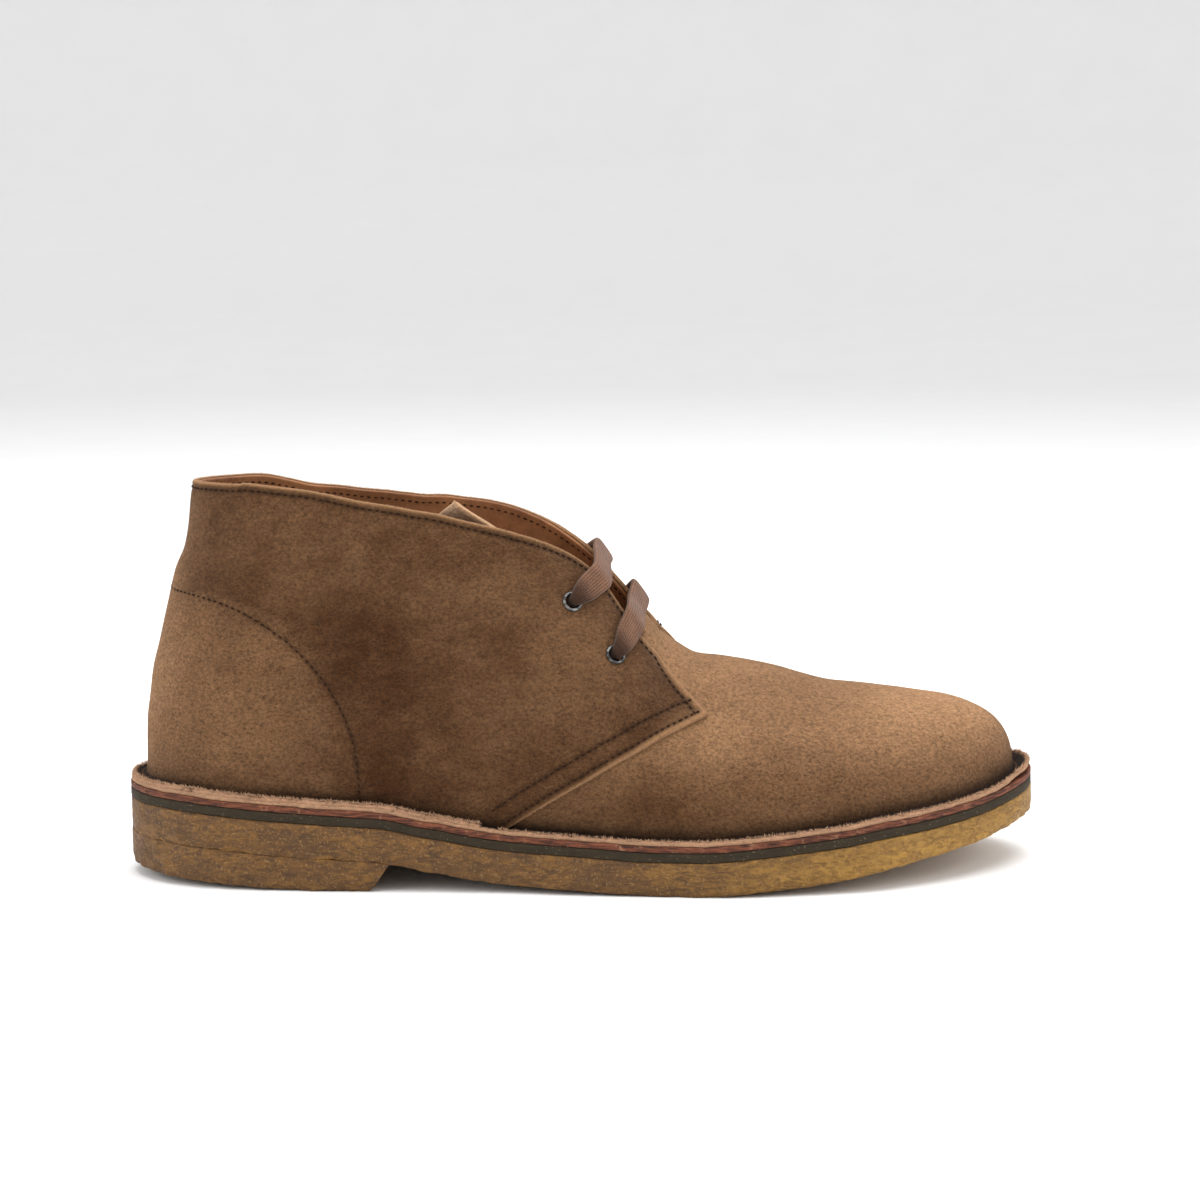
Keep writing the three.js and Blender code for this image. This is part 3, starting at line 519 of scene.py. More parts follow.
quarter_rows = {}
for side, name in SIDES.items():
    top_edge = edge_run(quarter_top, side, 0.0, QUARTER_FRONT)
    front_edge = edge_run(quarter_foot, side, QUARTER_FRONT - 0.002, SEAM_FOOT + 0.004)
    throat = smooth(np.abs(top_edge[:, 0]), *np.interp(THROAT_STARTS, quarter_shares, half_run))
    inset = STITCH_INSET + THROAT_INSET * throat
    apart = STITCH_INSET * 0.97
    quarter_rows[f"collar_{name}"] = clear_of(beside(top_edge, -side * inset), front_edge, apart)
    for level, distance in {"low": STITCH_INSET, "high": STITCH_INSET + ROW_GAP}.items():
        row = clear_of(beside(front_edge, -side * distance), top_edge, apart)
        quarter_rows[f"seam_{level}_{name}"] = row[row[:, 1] > ROW_FOOT]
    quarter_rows[f"counter_{name}"] = counter_row(side)
print("rows of stitching:", len(quarter_rows))


# %% [markdown]
# ## Holes and cut edges
# The eyelets sit in holes through suede and lining. The grid is pushed outwards round each one and the
# cells inside are left out, which keeps the mesh more even than a cut with another solid would.

# %% Where the eyelets sit, and the helpers of a leather skin
EDGE_STEPS = np.array([0.0, 0.12, 0.32, 0.65, 1.1])
EDGE_ROUND = 0.75
GROOVE_WIDTH = 0.75
GROOVE_DEPTH = 0.28
FOOT_SHADE = 4.4
HOLE_RADIUS = 2.4
HOLE_REACH = 6.5
HOLE_CELLS = 0.75
FAR_AWAY = 9.0
EYELETS = {
    "eyelet_lateral_upper": (-1, 0.490, 0.745), "eyelet_lateral_lower": (-1, 0.537, 0.581),
    "eyelet_medial_upper": (1, 0.494, 0.785), "eyelet_medial_lower": (1, 0.542, 0.628),
}


def rows_between(foot, top, count, slope):
    """Heights in millimetres from foot to top, closer together near both cut edges."""
    span = top - foot
    steps = EDGE_STEPS * np.minimum(slope, span / (3 * EDGE_STEPS[-1]))[:, None]
    inner = np.linspace(0, 1, count + 2)[1:-1]
    low, high = steps[:, -1:], span[:, None] - steps[:, -1:]
    rows = np.concatenate([steps, low + (high - low) * inner, span[:, None] - steps[:, ::-1]], 1)
    return foot[:, None] + rows, rows / slope[:, None], (span[:, None] - rows) / slope[:, None]


def edge_rounding(distance, radius):
    t = 1 - np.clip(distance / radius, 0, 1)
    return -radius * (1 - np.sqrt(1 - t**2))


def groove(run, height, rows):
    """How deep the thread has pulled the suede in, from the distance to the nearest row."""
    nearest = np.full(run.shape, FAR_AWAY)
    for row in rows.values():
        low, high = row.min(0) - 3, row.max(0) + 3
        near = (run > low[0]) & (run < high[0]) & (height > low[1]) & (height < high[1])
        spots = np.stack([run[near], height[near]], -1)
        gaps = np.full(len(spots), FAR_AWAY)
        for part in np.array_split(np.arange(len(spots)), max(1, len(spots) // 4000)):
            gaps[part] = np.linalg.norm(spots[part, None] - row[None, ::2], axis=-1).min(1)
        nearest[near] = np.minimum(nearest[near], gaps)
    return GROOVE_DEPTH * np.exp(-((nearest / GROOVE_WIDTH) ** 2))


def open_holes(runs, heights):
    """Push the grid outwards round each eyelet, and say which cells to leave out."""
    runs, heights = runs.copy(), heights.copy()
    gone = np.zeros((runs.shape[0] - 1, runs.shape[1] - 1), bool)
    for side, along, height in EYELETS.values():
        run_0, height_0 = share_to_run(along, side), height * SHAFT_HEIGHT
        by_run, by_height = steps_at(np.array(run_0), np.array(height_0))
        off_run, off_height = runs - run_0, heights - height_0
        apart = off_run[..., None] * by_run + off_height[..., None] * by_height
        middle = (apart[1:, 1:] + apart[:-1, 1:] + apart[1:, :-1] + apart[:-1, :-1]) / 4
        gone |= np.linalg.norm(middle, axis=-1) < HOLE_CELLS
        distance = np.maximum(np.linalg.norm(apart, axis=-1), 1e-6)
        pushed = HOLE_RADIUS + distance * (HOLE_REACH - HOLE_RADIUS) / HOLE_REACH
        spread = np.where(distance < HOLE_REACH, pushed / distance, 1)
        runs, heights = run_0 + off_run * spread, height_0 + off_height * spread
    return runs, heights, gone


def leather_skin(name, front, back, gone, values):
    """A closed skin between two grids of points, with a wall round every hole."""
    stations, rows = front.shape[:2]
    section = np.concatenate([front, back[:, ::-1]], 1)
    count = 2 * rows
    faces = []
    for i in range(stations - 1):
        for j in range(count):
            row = j if j < rows else count - 2 - j
            if 0 <= row < rows - 1 and gone[i, row]:
                continue
            k = (j + 1) % count
            faces.append([i * count + j, (i + 1) * count + j, (i + 1) * count + k, i * count + k])
    for i, j in np.argwhere(gone):
        for (di, dj), (a, b) in {
            (-1, 0): ((0, 0), (0, 1)), (1, 0): ((1, 0), (1, 1)),
            (0, -1): ((0, 0), (1, 0)), (0, 1): ((0, 1), (1, 1)),
        }.items():
            if not gone[i + di, j + dj]:
                p, q = (i + a[0]) * count + j + a[1], (i + b[0]) * count + j + b[1]
                r, s = (i + b[0] + 1) * count - 1 - j - b[1], (i + a[0] + 1) * count - 1 - j - a[1]
                faces.append([p, q, r, s])
    doubled = {key: mirrored(value) for key, value in values.items()}
    return mesh_piece(name, section.reshape(-1, 3), faces + end_caps(stations, count), doubled)


print("eyelets sit at:", {name: spot[1:] for name, spot in EYELETS.items()})

# %% [markdown]
# ## The suede of the quarters
# The lift off the last adds up what shapes real suede: its thickness, its rounded cut edge, a soft
# swell and the pull of the thread. Three numbers kept at the points tell the finish where the edge
# is pale, where the nap lies light or dark, and where painted shade darkens the thread grooves and the foot.

# %% The quarters' skin
QUARTER_INNER = -0.7
# How dark the painted shade at the foot of the wall is.
FOOT_SHADE_STRENGTH = 1.1
QUARTER_SWELL = [(34, 0.30, 3), (11, 0.10, 4)]
TONES = [  # distance round from the heel, height, reach along and up in millimetres, amount
    (34, 24, 22, 16, 0.07), (20, 10, 18, 8, -0.06), (70, 84, 30, 12, 0.04), (62, 68, 14, 10, 0.06),
    (96, 44, 20, 12, -0.05), (120, 52, 14, 16, 0.05), (92, 12, 30, 10, -0.06), (110, 74, 14, 9, 0.05),
    (44, 60, 10, 14, -0.05), (152, 44, 14, 10, 0.06), (84, 60, 10, 10, -0.05), (130, 30, 14, 8, 0.04),
    (4, 34, 14, 34, 0.32), (4, 80, 10, 20, 0.12), (24, 40, 12, 12, 0.08), (158, 58, 16, 16, 0.13),
    (138, 74, 14, 12, 0.07), (150, 36, 22, 10, 0.06),
]


def tone_of(across, up, spots):
    """Soft lighter and darker spots of the nap, from a table."""
    return sum(s * np.exp(-(((across - a) / c) ** 2) - ((up - b) / d) ** 2) for a, b, c, d, s in spots)


run = np.r_[-half_run[::-1], half_run[1:]]
side = np.where(run < 0, -1, 1)
shares = np.interp(np.abs(run), half_run, quarter_shares)
quarter_high = np.where(side < 0, quarter_top(shares, -1), quarter_top(shares, 1)) * SHAFT_HEIGHT
quarter_low = np.where(side < 0, quarter_foot(shares, -1), quarter_foot(shares, 1)) * SHAFT_HEIGHT
quarter_low = np.minimum(quarter_low, quarter_high - 0.2)
top_slope = np.clip(np.sqrt(1 + np.gradient(quarter_high, run) ** 2), 1, 2.2)
heights, from_foot, from_top = rows_between(quarter_low, quarter_high, 74, top_slope)
runs, heights, gone = open_holes(np.broadcast_to(run[:, None], heights.shape), heights)
to_edge = np.minimum(from_top, np.where(shares[:, None] > SEAM_FOOT, from_foot, FAR_AWAY))
base, normals = place(runs, heights, np.zeros_like(heights))
swell = lumps_of(base, QUARTER_SWELL)
swell *= smooth(to_edge, 0, 12) * smooth(from_foot, 0, 12)
fray = 0.10 * lattice_noise(base, 1.6, 5) * np.exp(-to_edge / 0.5)
pulled = groove(runs, heights, quarter_rows)
lift = QUARTER_STEP + edge_rounding(to_edge, EDGE_ROUND) - pulled
outer = base + normals * (lift + fray + swell)[..., None]
inner = base + QUARTER_INNER * normals
COUNTER_EDGE = [  # height and distance round from the heel
    (-5, 52.0), (0, 54.6), (16, 54.0), (25, 52.5), (35, 49.0), (45, 43.0), (53, 35.0), (59.7, 24.0),
    (63.0, 10.0), (64.5, -12.0), (110, -60.0),
]
counter_x = np.interp(heights, *np.array(COUNTER_EDGE).T)
behind = smooth(counter_x + 34 - np.abs(runs), -4, 14)
tone = 0.08 + 0.15 * behind + 0.05 * smooth(heights, 60, 90) + tone_of(np.abs(runs), heights, TONES)
# Painted shade: the suede darkens towards the foot of the wall, where it meets the turned strip.
foot_shade_mask = FOOT_SHADE_STRENGTH * np.exp(-((heights / FOOT_SHADE) ** 2)) * (shares[:, None] < SEAM_FOOT)
edge_wide = 0.75 + 0.9 * smooth(shares, *THROAT_STARTS)[:, None]
# The kept number row is painted shade: darker in the thread grooves and at the foot of the wall.
worn = {
    "edge": np.exp(-((to_edge / edge_wide) ** 2)),
    "tone": tone,
    "row": np.maximum(0.8 * pulled / GROOVE_DEPTH, foot_shade_mask),
}
quarters = leather_skin("quarters", outer, inner, gone, worn)
print("quarters:", len(quarters.data.polygons), "faces, cells left out:", int(gone.sum()))

# %% [markdown]
# ## Lining
# Inside the quarters lies a smooth brown leather lining. It ends just under the collar's suede edge,
# and its own rounded edge shows as a thin line beside it.

# %% The lining's skin
LINING_OUTER = -0.8
LINING_INNER = -1.8
LINING_ROW = 0.2
keep = np.arange(0, len(run), 2)
lining_low = np.full(len(keep), WALL_FOOT)
heights, from_foot, from_top = rows_between(lining_low, quarter_high[keep] - 0.3, 60, top_slope[keep])
runs, heights, gone = open_holes(np.broadcast_to(run[keep][:, None], heights.shape), heights)
inside_rows = {
    name: beside(edge_run(quarter_top, side, 0.0, 0.60), -side * (STITCH_INSET + LINING_ROW))
    for side, name in SIDES.items()
}
base, normals = place(runs, heights, np.zeros_like(heights))
lift = LINING_INNER - edge_rounding(from_top, 0.4) + 0.5 * groove(runs, heights, inside_rows)
behind = base + normals * LINING_OUTER
lining = leather_skin("lining", base + normals * lift[..., None], behind, gone, {})
print("lining:", len(lining.data.polygons), "faces")

# %% [markdown]
# ## Vamp
# The vamp covers the toes and runs back under the quarters. Its patch goes over the ridge of the
# last, from the outer feather line to the inner one. Behind the throat only the two wings that the
# quarters are sewn to are kept. Soft troughs are pressed in where the foot bends.

# %% The vamp's patch
VAMP_BACK = 0.400
VAMP_SKIN = 1.2
VAMP_ROWS = 66
VAMP_THROAT = 0.571
CREASES = [  # x and height in millimetres on the last, slope, length, width and depth
    (203, 40, -0.9, 26, 5.0, 0.55), (214, 34, -1.1, 22, 5.0, 0.45), (192, 30, -0.7, 20, 5.5, 0.40),
    (226, 36, -1.3, 16, 4.5, 0.30), (184, 44, -0.4, 13, 3.5, 0.35),
]
VAMP_TONES = [  # x and height, reach along and up in millimetres, amount
    (262, 34, 24, 14, 0.30), (278, 24, 12, 12, 0.22), (228, 44, 16, 8, -0.04), (198, 54, 22, 10, 0.08),
    (166, 14, 26, 14, -0.16), (222, 12, 22, 6, -0.05), (186, 30, 10, 10, 0.05), (212, 26, 12, 8, -0.05),
    (246, 20, 12, 8, 0.05), (172, 50, 10, 8, 0.08),
]
VAMP_SWELL = [(30, 0.30, 7), (9, 0.10, 8)]
VAMP_SUNK = 1.3
WING_LAP = 0.06


def vamp_grid():
    shares = even_shares(0, VAMP_BACK, 1, 230)
    angle = np.linspace(0, np.pi, 2 * VAMP_ROWS + 1)
    rise = np.sin(angle)
    rise[VAMP_ROWS] = 1
    side = np.where(angle < np.pi / 2, -1, 1)
    top = last_top(shares)[:, None]
    foot = np.minimum(WALL_FOOT / SHAFT_HEIGHT, top)
    height = foot + (top - foot) * rise
    return shares, side, height, last_point(shares[:, None], height, side[None])


vamp_shares, row_side, height, points = vamp_grid()
normals = grid_normals(points)
if (normals * (points - points.mean((0, 1)))).sum() < 0:
    normals = -normals
from_sole = points[..., 2] - feather_level(vamp_shares)[:, None]
lift = lumps_of(points, VAMP_SWELL)
for x, level, slope, length, width, depth in CREASES:
    dx, dz = points[..., 0] - x, from_sole - level
    size = math.hypot(1, slope)
    ahead, across = (dx + slope * dz) / size, (dz - slope * dx) / size
    lift -= depth * np.exp(-((ahead / length) ** 2) - (across / width) ** 2)
lift *= smooth(from_sole, 0, 10) * smooth(1 - vamp_shares, 0, 0.02)[:, None]
before_throat = 1 - smooth(vamp_shares, VAMP_THROAT, VAMP_THROAT + 0.018)
lift -= VAMP_SUNK * before_throat[:, None] * smooth(height, 0.42, 0.5)
points = points + normals * lift[..., None]
tone = 0.25 + 0.20 * smooth(from_sole, 10, 34) + tone_of(points[..., 0], from_sole, VAMP_TONES)
outer_seam, inner_seam = (seam[name](vamp_shares)[:, None] for name in SIDES.values())
seam_line = np.where(row_side[None] < 0, outer_seam, inner_seam)
kept = (vamp_shares[:, None] >= VAMP_THROAT) | (height < np.maximum(seam_line, 0) + WING_LAP)
corners = patch_faces(*points.shape[:2])
whole = kept[:-1, :-1] & kept[1:, :-1] & kept[1:, 1:] & kept[:-1, 1:]
# Painted shade: the vamp darkens towards its foot, where it meets the turned strip.
worn = {"tone": tone, "row": FOOT_SHADE_STRENGTH * np.exp(-((from_sole / FOOT_SHADE) ** 2))}
vamp = mesh_piece("vamp", points.reshape(-1, 3), corners[whole].tolist(), worn)
trimmed = bmesh.new()
trimmed.from_mesh(vamp.data)
bmesh.ops.delete(trimmed, geom=[v for v in trimmed.verts if not v.link_faces], context="VERTS")
trimmed.to_mesh(vamp.data)
trimmed.free()
skin = vamp.modifiers.new("skin", "SOLIDIFY")
skin.thickness = VAMP_SKIN * MM
skin.offset = -1
toe_up = [polygon.normal.z for polygon in vamp.data.polygons if polygon.center.x > 0.09]
print("vamp:", len(vamp.data.polygons), "faces, mean upward normal over the toe", round(np.mean(toe_up), 2))

# %% [markdown]
# ## Turned edge
# On this kind of boot the upper is turned outwards, laid on the welt and stitched down. The turned
# strip is a section swept round the outline: a groove beside the wall for the stitches, a low crown
# and a raw, slightly wavy cut edge. The quarters' strip lies on top of the vamp's, so it steps down
# where it ends at the waist.

# %% Sweep a section round the outline
RIM_STATIONS = 900
RIM_WAVE = [(7, 1.0, 21), (1.7, 0.7, 22)]
RIM_UNEVEN = [(4, 1.0, 23), (1.3, 1.0, 24)]


def toe_curl(x, distance):
    """How far the strip curls up round the toe, at a distance out from the outline."""
    return TOE_CURL * smooth(x / LAST_LENGTH, 0.96, 1.01) * smooth(distance, 1, 4.5)


def swept(name, section, shares, sides, closed, wave, raised=None):
    """A strip round the outline from a section of (distance out, height over the feather line)."""
    section = np.array(section, float)
    distance = np.broadcast_to(section[:, 0], (len(shares), len(section))).copy()
    level = np.broadcast_to(section[:, 1], distance.shape).copy()
    spread_out = smooth(section[:, 0], 2.6, 5.0)[None]
    x, middle, half = outline(shares[:, None], distance)
    here = np.stack([x, middle + sides[:, None] * half, level], -1)
    distance += wave * spread_out * lumps_of(here, RIM_WAVE)
    level += 0.7 * wave * spread_out * (level > 0.6) * lumps_of(here, RIM_UNEVEN)
    level += toe_curl(x, distance)
    if raised is not None:
        level += raised[:, None] * (level > 0.4)
    x, middle, half = outline(shares[:, None], distance)
    points = np.stack([x, middle + sides[:, None] * half, feather_level(x / LAST_LENGTH) + level], -1)
    faces = ring_faces(len(shares), len(section), closed)
    if not closed:
        faces += end_caps(len(shares), len(section))
    outwards = section[:, 0][None] - 0.9 * np.abs(lattice_noise(here, 1.1, 25))
    outwards = outwards - 0.5 * lattice_noise(here, 3.5, 26)
    # The kept tone is near 0 from the wall to the crown and rises only near the cut edge, so the strip is
    # painted nearly black there: painted shade in the groove beside the wall. The pale outer band is the raw
    # cut edge.
    worn = {"edge": 0.8 * smooth(outwards, 4.2, 5.0), "tone": 0.85 * smooth(outwards, 3.7, 4.8)}
    worn["tone"] *= 0.8 + 0.3 * lattice_noise(here, 2.2, 27)
    return mesh_piece(name, points.reshape(-1, 3), faces, worn)


VAMP_TURN = [  # distance out and height over the feather line
    (-1.0, 0.02), (-1.0, 1.6), (0.0, 1.35), (0.7, 0.85), (1.3, 0.72), (1.9, 0.95), (2.6, 1.25), (3.5, 1.42),
    (4.5, 1.46), (5.1, 1.38), (5.5, 1.15), (5.65, 0.80), (5.6, 0.35), (5.4, 0.05), (3.0, 0.02),
]
QUARTER_TURN = [
    (-0.6, 0.70), (-0.6, 3.2), (1.2, 2.75), (1.7, 2.10), (2.2, 1.95), (2.8, 2.15), (3.4, 2.42), (4.1, 2.58),
    (4.7, 2.55), (5.1, 2.35), (5.3, 1.95), (5.3, 1.50), (5.1, 1.10), (4.8, 0.75), (3.0, 0.70),
]
rim_half = even_shares(3, 0, 1, RIM_STATIONS // 2 + 1)
rim_shares = np.r_[rim_half, rim_half[-2:0:-1]]
rim_sides = np.r_[-np.ones(len(rim_half)), np.ones(len(rim_half) - 2)]
vamp_turn = swept("turned_edge_vamp", VAMP_TURN, rim_shares, rim_sides, True, 0.34)

heel_half = even_shares(3, 0, QUARTER_TURN_END - 0.02, 240)
heel_shares = np.r_[heel_half[::-1], heel_half[1:]]
heel_sides = np.r_[-np.ones(len(heel_half)), np.ones(len(heel_half) - 1)]
stations = np.arange(len(heel_shares))
ends = np.minimum(stations, stations[::-1])
torn = np.random.default_rng(9).random(len(heel_shares)) * (ends < 6)
ragged = -0.5 * (1 - smooth(ends, 0, 8)) + 0.25 * torn
quarter_turn = swept("turned_edge_quarters", QUARTER_TURN, heel_shares, heel_sides, False, 0.42, ragged)
print("turned edges:", len(vamp_turn.data.polygons) + len(quarter_turn.data.polygons), "faces")

# %% [markdown]
# ## Sole
# Under the strip lie a red-brown leather sheet, a dark rubber sheet and a thick sheet of crepe, with a
# crepe lift under the heel. Crepe is raw rubber: its cut edge is lumpy, so its points are moved by
# noise, more at the worn lower edge than at the top.

# %% Sheets of the sole
SOLE_STATIONS = 420
ACROSS = np.linspace(-1, 1, 25)
LOW_EDGE_SWELL = 1.6


def spanned(first, second):
    """Points that span the sole from one edge to the other."""
    across = ((ACROSS + 1) / 2)[1:-1, None]
    return first[:, None] * (1 - across) + second[:, None] * across


def sole_sheet(name, bottom, top, profile, bumps, over_heel=False):
    """A sheet with the sole's outline. profile holds (inset, share of its thickness) up its edge."""
    shares = even_shares(SOLE_EDGE, 0, 1, SOLE_STATIONS)
    inset, part = np.array(profile, float).T
    inset = inset[None] * np.ones((len(shares), 1))
    if over_heel:
        share_x = shares * (LAST_LENGTH + 2 * SOLE_EDGE) - SOLE_EDGE
        from_breast = smooth(share_x, HEEL_LENGTH - 4, HEEL_LENGTH + 4)
        inset = inset * np.where(part < 0.3, 0.12 + 0.88 * from_breast[:, None], 1)
    rings = []
    for side in (1, -1):
        x, middle, half = outline(shares[:, None], SOLE_EDGE - inset)
        low, high = bottom(x / LAST_LENGTH), top(x / LAST_LENGTH)
        level = low + (high - low) * part[None]
        here = np.stack([x, middle + side * half, level], -1)
        low_edge = 1 + LOW_EDGE_SWELL * (1 - smooth(part, 0.0, 0.3))[None]
        x, middle, half = outline(shares[:, None], SOLE_EDGE - inset + lumps_of(here, bumps) * low_edge)
        rings.append(np.stack([x, middle + side * half, level], -1))
    medial, lateral = rings
    under, over = spanned(lateral[:, 0], medial[:, 0]), spanned(medial[:, -1], lateral[:, -1])
    under[..., 2] += 0.25 * np.abs(lumps_of(under, bumps))
    section = np.concatenate([under, medial, over, lateral[:, ::-1]], 1)
    return mesh_piece(name, section.reshape(-1, 3), ring_faces(*section.shape[:2]))


CREPE_BUMPS = [(9.0, 0.14, 31), (3.2, 0.22, 32), (1.3, 0.13, 33)]
SHEET_BUMPS = [(8.0, 0.07, 34), (1.5, 0.03, 35)]
CREPE_EDGE = [(1.5, 0.0), (0.8, 0.04), (0.3, 0.12), (0.08, 0.22)]
CREPE_EDGE += [(0.0, part) for part in np.linspace(0.32, 0.92, 9)] + [(0.12, 0.985), (0.5, 1.0)]
THIN_EDGE = [(0.5, 0.0), (0.15, 0.05), (0.0, 0.2), (0.0, 0.5), (0.0, 0.8), (0.15, 0.95), (0.5, 1.0)]

GLUE_LINE = 0.05
WELT_GLUE_LINE = 0.02
outsole = sole_sheet(
    "outsole", tread_level, lambda a: midsole_level(a) - GLUE_LINE, CREPE_EDGE, CREPE_BUMPS, True
)
midsole = sole_sheet(
    "midsole_sheet", midsole_level, lambda a: welt_level(a) - GLUE_LINE, THIN_EDGE, SHEET_BUMPS
)
welt = sole_sheet(
    "welt_sheet", welt_level, lambda a: feather_level(a) - WELT_GLUE_LINE, THIN_EDGE, SHEET_BUMPS
)


# %% [markdown]
# ## Heel lift
# The lift is a block of the same crepe. Its front face, the breast, slants, and wear has rounded its
# back upwards, so its lower edge rises by a power of the distance behind the flat part.

# %% The heel, worn up at the back
HEEL_ROWS = np.array(CREPE_EDGE[:-2] + [(0.03, 0.985), (0.08, 1.0)])
HEEL_STATIONS = 260


def heel_piece():
    back = -SOLE_EDGE
    t = np.linspace(0, 1, HEEL_STATIONS)
    run_share = t**2 * (1.6 - 0.6 * t)
    inset, part = HEEL_ROWS.T
    front = HEEL_LENGTH - BREAST_SLANT * (1 - part) - 0.4 * inset
    x = (back + inset) + (front - back - inset) * run_share[:, None]
    rings = []
    for side in (1, -1):
        grow = SOLE_EDGE - inset
        share = (x + grow) / (LAST_LENGTH + 2 * grow)
        across_x, middle, half = outline(share, grow)
        worn = HEEL_WEAR * np.clip((HEEL_FLAT - across_x) / (HEEL_FLAT - back), 0, 1) ** 1.2
        roof = tread_level(across_x / LAST_LENGTH) - GLUE_LINE
        level = worn + (roof - worn) * part
        here = np.stack([across_x, middle + side * half, level], -1)
        low_edge = 1 + LOW_EDGE_SWELL * (1 - smooth(part, 0, 0.3))
        across_x, middle, half = outline(share, grow + lumps_of(here, CREPE_BUMPS) * low_edge)
        rings.append(np.stack([across_x, middle + side * half, level], -1))
    medial, lateral = rings
    under, over = spanned(lateral[:, 0], medial[:, 0]), spanned(medial[:, -1], lateral[:, -1])
    section = np.concatenate([under, medial, over, lateral[:, ::-1]], 1)
    faces = ring_faces(*section.shape[:2])
    vertices = section.reshape(-1, 3)
    breast = spanned(lateral[-1], medial[-1])
    breast[..., 0] += 0.3 * lattice_noise(breast, 3, 36)
    full = np.concatenate([lateral[-1][:, None], breast, medial[-1][:, None]], 1)
    full[0, 1:-1], full[-1, 1:-1] = under[-1], over[-1][::-1]
    corners = patch_faces(*full.shape[:2], len(vertices))[..., [0, 3, 2, 1]]
    faces += corners.reshape(-1, 4).tolist()
    return mesh_piece("heel", np.concatenate([vertices, full.reshape(-1, 3)]), faces)


heel = heel_piece()
print("sole:", [len(piece.data.polygons) for piece in (outsole, midsole, welt, heel)])

# %% [markdown]
# ## Insole
# The insole is a soft leather sock that shows through the collar. It is a thin sheet with the last's
# outline, set in a little, dished in the middle and rounded along its upper edge.

# %% Insole
INSOLE_INSET = 2.0


def insole_piece():
    shares = even_shares(-INSOLE_INSET, 0, 1, 200)
    rings = []
    for step, rise_mm in ((0.0, 0.0), (0.0, 2.4), (0.5, 2.9), (3.0, 3.0)):
        x, middle, half = outline(shares, -INSOLE_INSET - step)
        level = feather_level(x / LAST_LENGTH) + rise_mm
        rings.append([np.stack([x, middle + side * half, level], -1) for side in (-1, 1)])
    lateral = np.stack([ring[0] for ring in rings], 1)
    medial = np.stack([ring[1] for ring in rings], 1)
    over = spanned(lateral[:, -1], medial[:, -1])
    over[..., 2] -= 0.9 * (1 - ACROSS[1:-1] ** 2) * smooth(over[..., 0], 0, 40)
    section = np.concatenate([lateral, over, medial[:, ::-1]], 1)
    return mesh_piece("insole_sock", section.reshape(-1, 3), ring_faces(*section.shape[:2]))


insole = insole_piece()
print("insole:", len(insole.data.polygons), "faces")

# %% [markdown]
# ## Tongue
# The tongue is a suede sheet that starts under the vamp and has slumped inside, so only its upper outer
# corner shows over the collar. Its middle line is a table, and the slump moves its upper end after that.

# %% Tongue
TONGUE_THICKNESS = 1.9
TONGUE_WIDTH = 38
TONGUE_CENTRE = -1
TONGUE_CORNER = 5
TONGUE_LENGTH = 100
TONGUE_EDGE = 0.8
SLUMP_BACK = 3.6
SLUMP_BACK_INSIDE = 7.5
SLUMP_UP = 0.5
SLUMP_DOWN_INSIDE = 2.4
SLUMP_OUTWARDS = 1.2
TONGUE_ROWS = 90
TONGUE_ACROSS = 48


def tongue_piece():
    run_share = np.linspace(0, 1, TONGUE_ROWS + 1)[:, None]
    u = np.linspace(-1, 1, TONGUE_ACROSS + 1)[None]
    along = tongue["along"](run_share)
    height = tongue["height"](run_share) - tongue["crown"](run_share) * u**2 - tongue["tilt"](run_share) * u
    x = along * LAST_LENGTH + 0 * u
    to_end = (1 - run_share) * TONGUE_LENGTH
    in_corner = TONGUE_CORNER - np.clip(to_end, 0, TONGUE_CORNER)
    cut = TONGUE_CORNER - np.sqrt(TONGUE_CORNER**2 - in_corner**2)
    half_width = tongue["half"](run_share) * TONGUE_WIDTH / 2
    y = TONGUE_CENTRE + u * (half_width - cut)
    z = feather_level(along) + SHAFT_HEIGHT * height
    end = smooth(run_share, 0.74, 1.0)
    inwards = smooth(u, -1.0, -0.1)
    x = x - SLUMP_BACK * end - SLUMP_BACK_INSIDE * end * inwards
    z = z + SLUMP_UP * end - SLUMP_DOWN_INSIDE * end * inwards
    y = y - SLUMP_OUTWARDS * end * (1 - inwards)
    centre = np.stack([x, y, z], -1)
    centre += 0.5 * lattice_noise(centre, 14, 41)[..., None] * np.array([0, 0, 1])
    normals = grid_normals(centre)
    if normals[..., 2].sum() < 0:
        normals = -normals
    to_side = (1 - np.abs(u)) * half_width
    near = np.minimum(to_side, to_end)
    thick = TONGUE_THICKNESS / 2 + edge_rounding(near, TONGUE_EDGE)
    over, below = centre + normals * thick[..., None], centre - normals * thick[..., None]
    section = np.concatenate([over, below[:, ::-1]], 1)
    count = section.shape[1]
    faces = ring_faces(TONGUE_ROWS + 1, count)
    for row in (0, TONGUE_ROWS):
        first = row * count
        for j in range(TONGUE_ACROSS):
            faces.append([first + j, first + j + 1, first + count - 2 - j, first + count - 1 - j])
    # The tongue grows lighter towards its upper end and much lighter at the corner that shows over the
    # collar: partly the suede's own paler corner, partly painted light on a face that lies in shade.
    painted_light_corner = smooth(run_share, 0.7, 0.86) * smooth(-u, 0.35, 0.8)
    tone = 0.16 + 0.16 * smooth(run_share, 0.6, 0.9) + 0.55 * painted_light_corner
    worn = {"edge": mirrored(np.exp(-near / TONGUE_EDGE)), "tone": mirrored(tone)}
    return mesh_piece("tongue_suede", section.reshape(-1, 3), faces, worn)


suede_tongue = tongue_piece()
print("tongue:", len(suede_tongue.data.polygons), "faces")

# %% [markdown]
# ## Eyelets
# Two metal eyelets sit in each quarter. Each is a turned ring: a rolled rim outside, a barrel through
# the wall and a flat clinch inside.

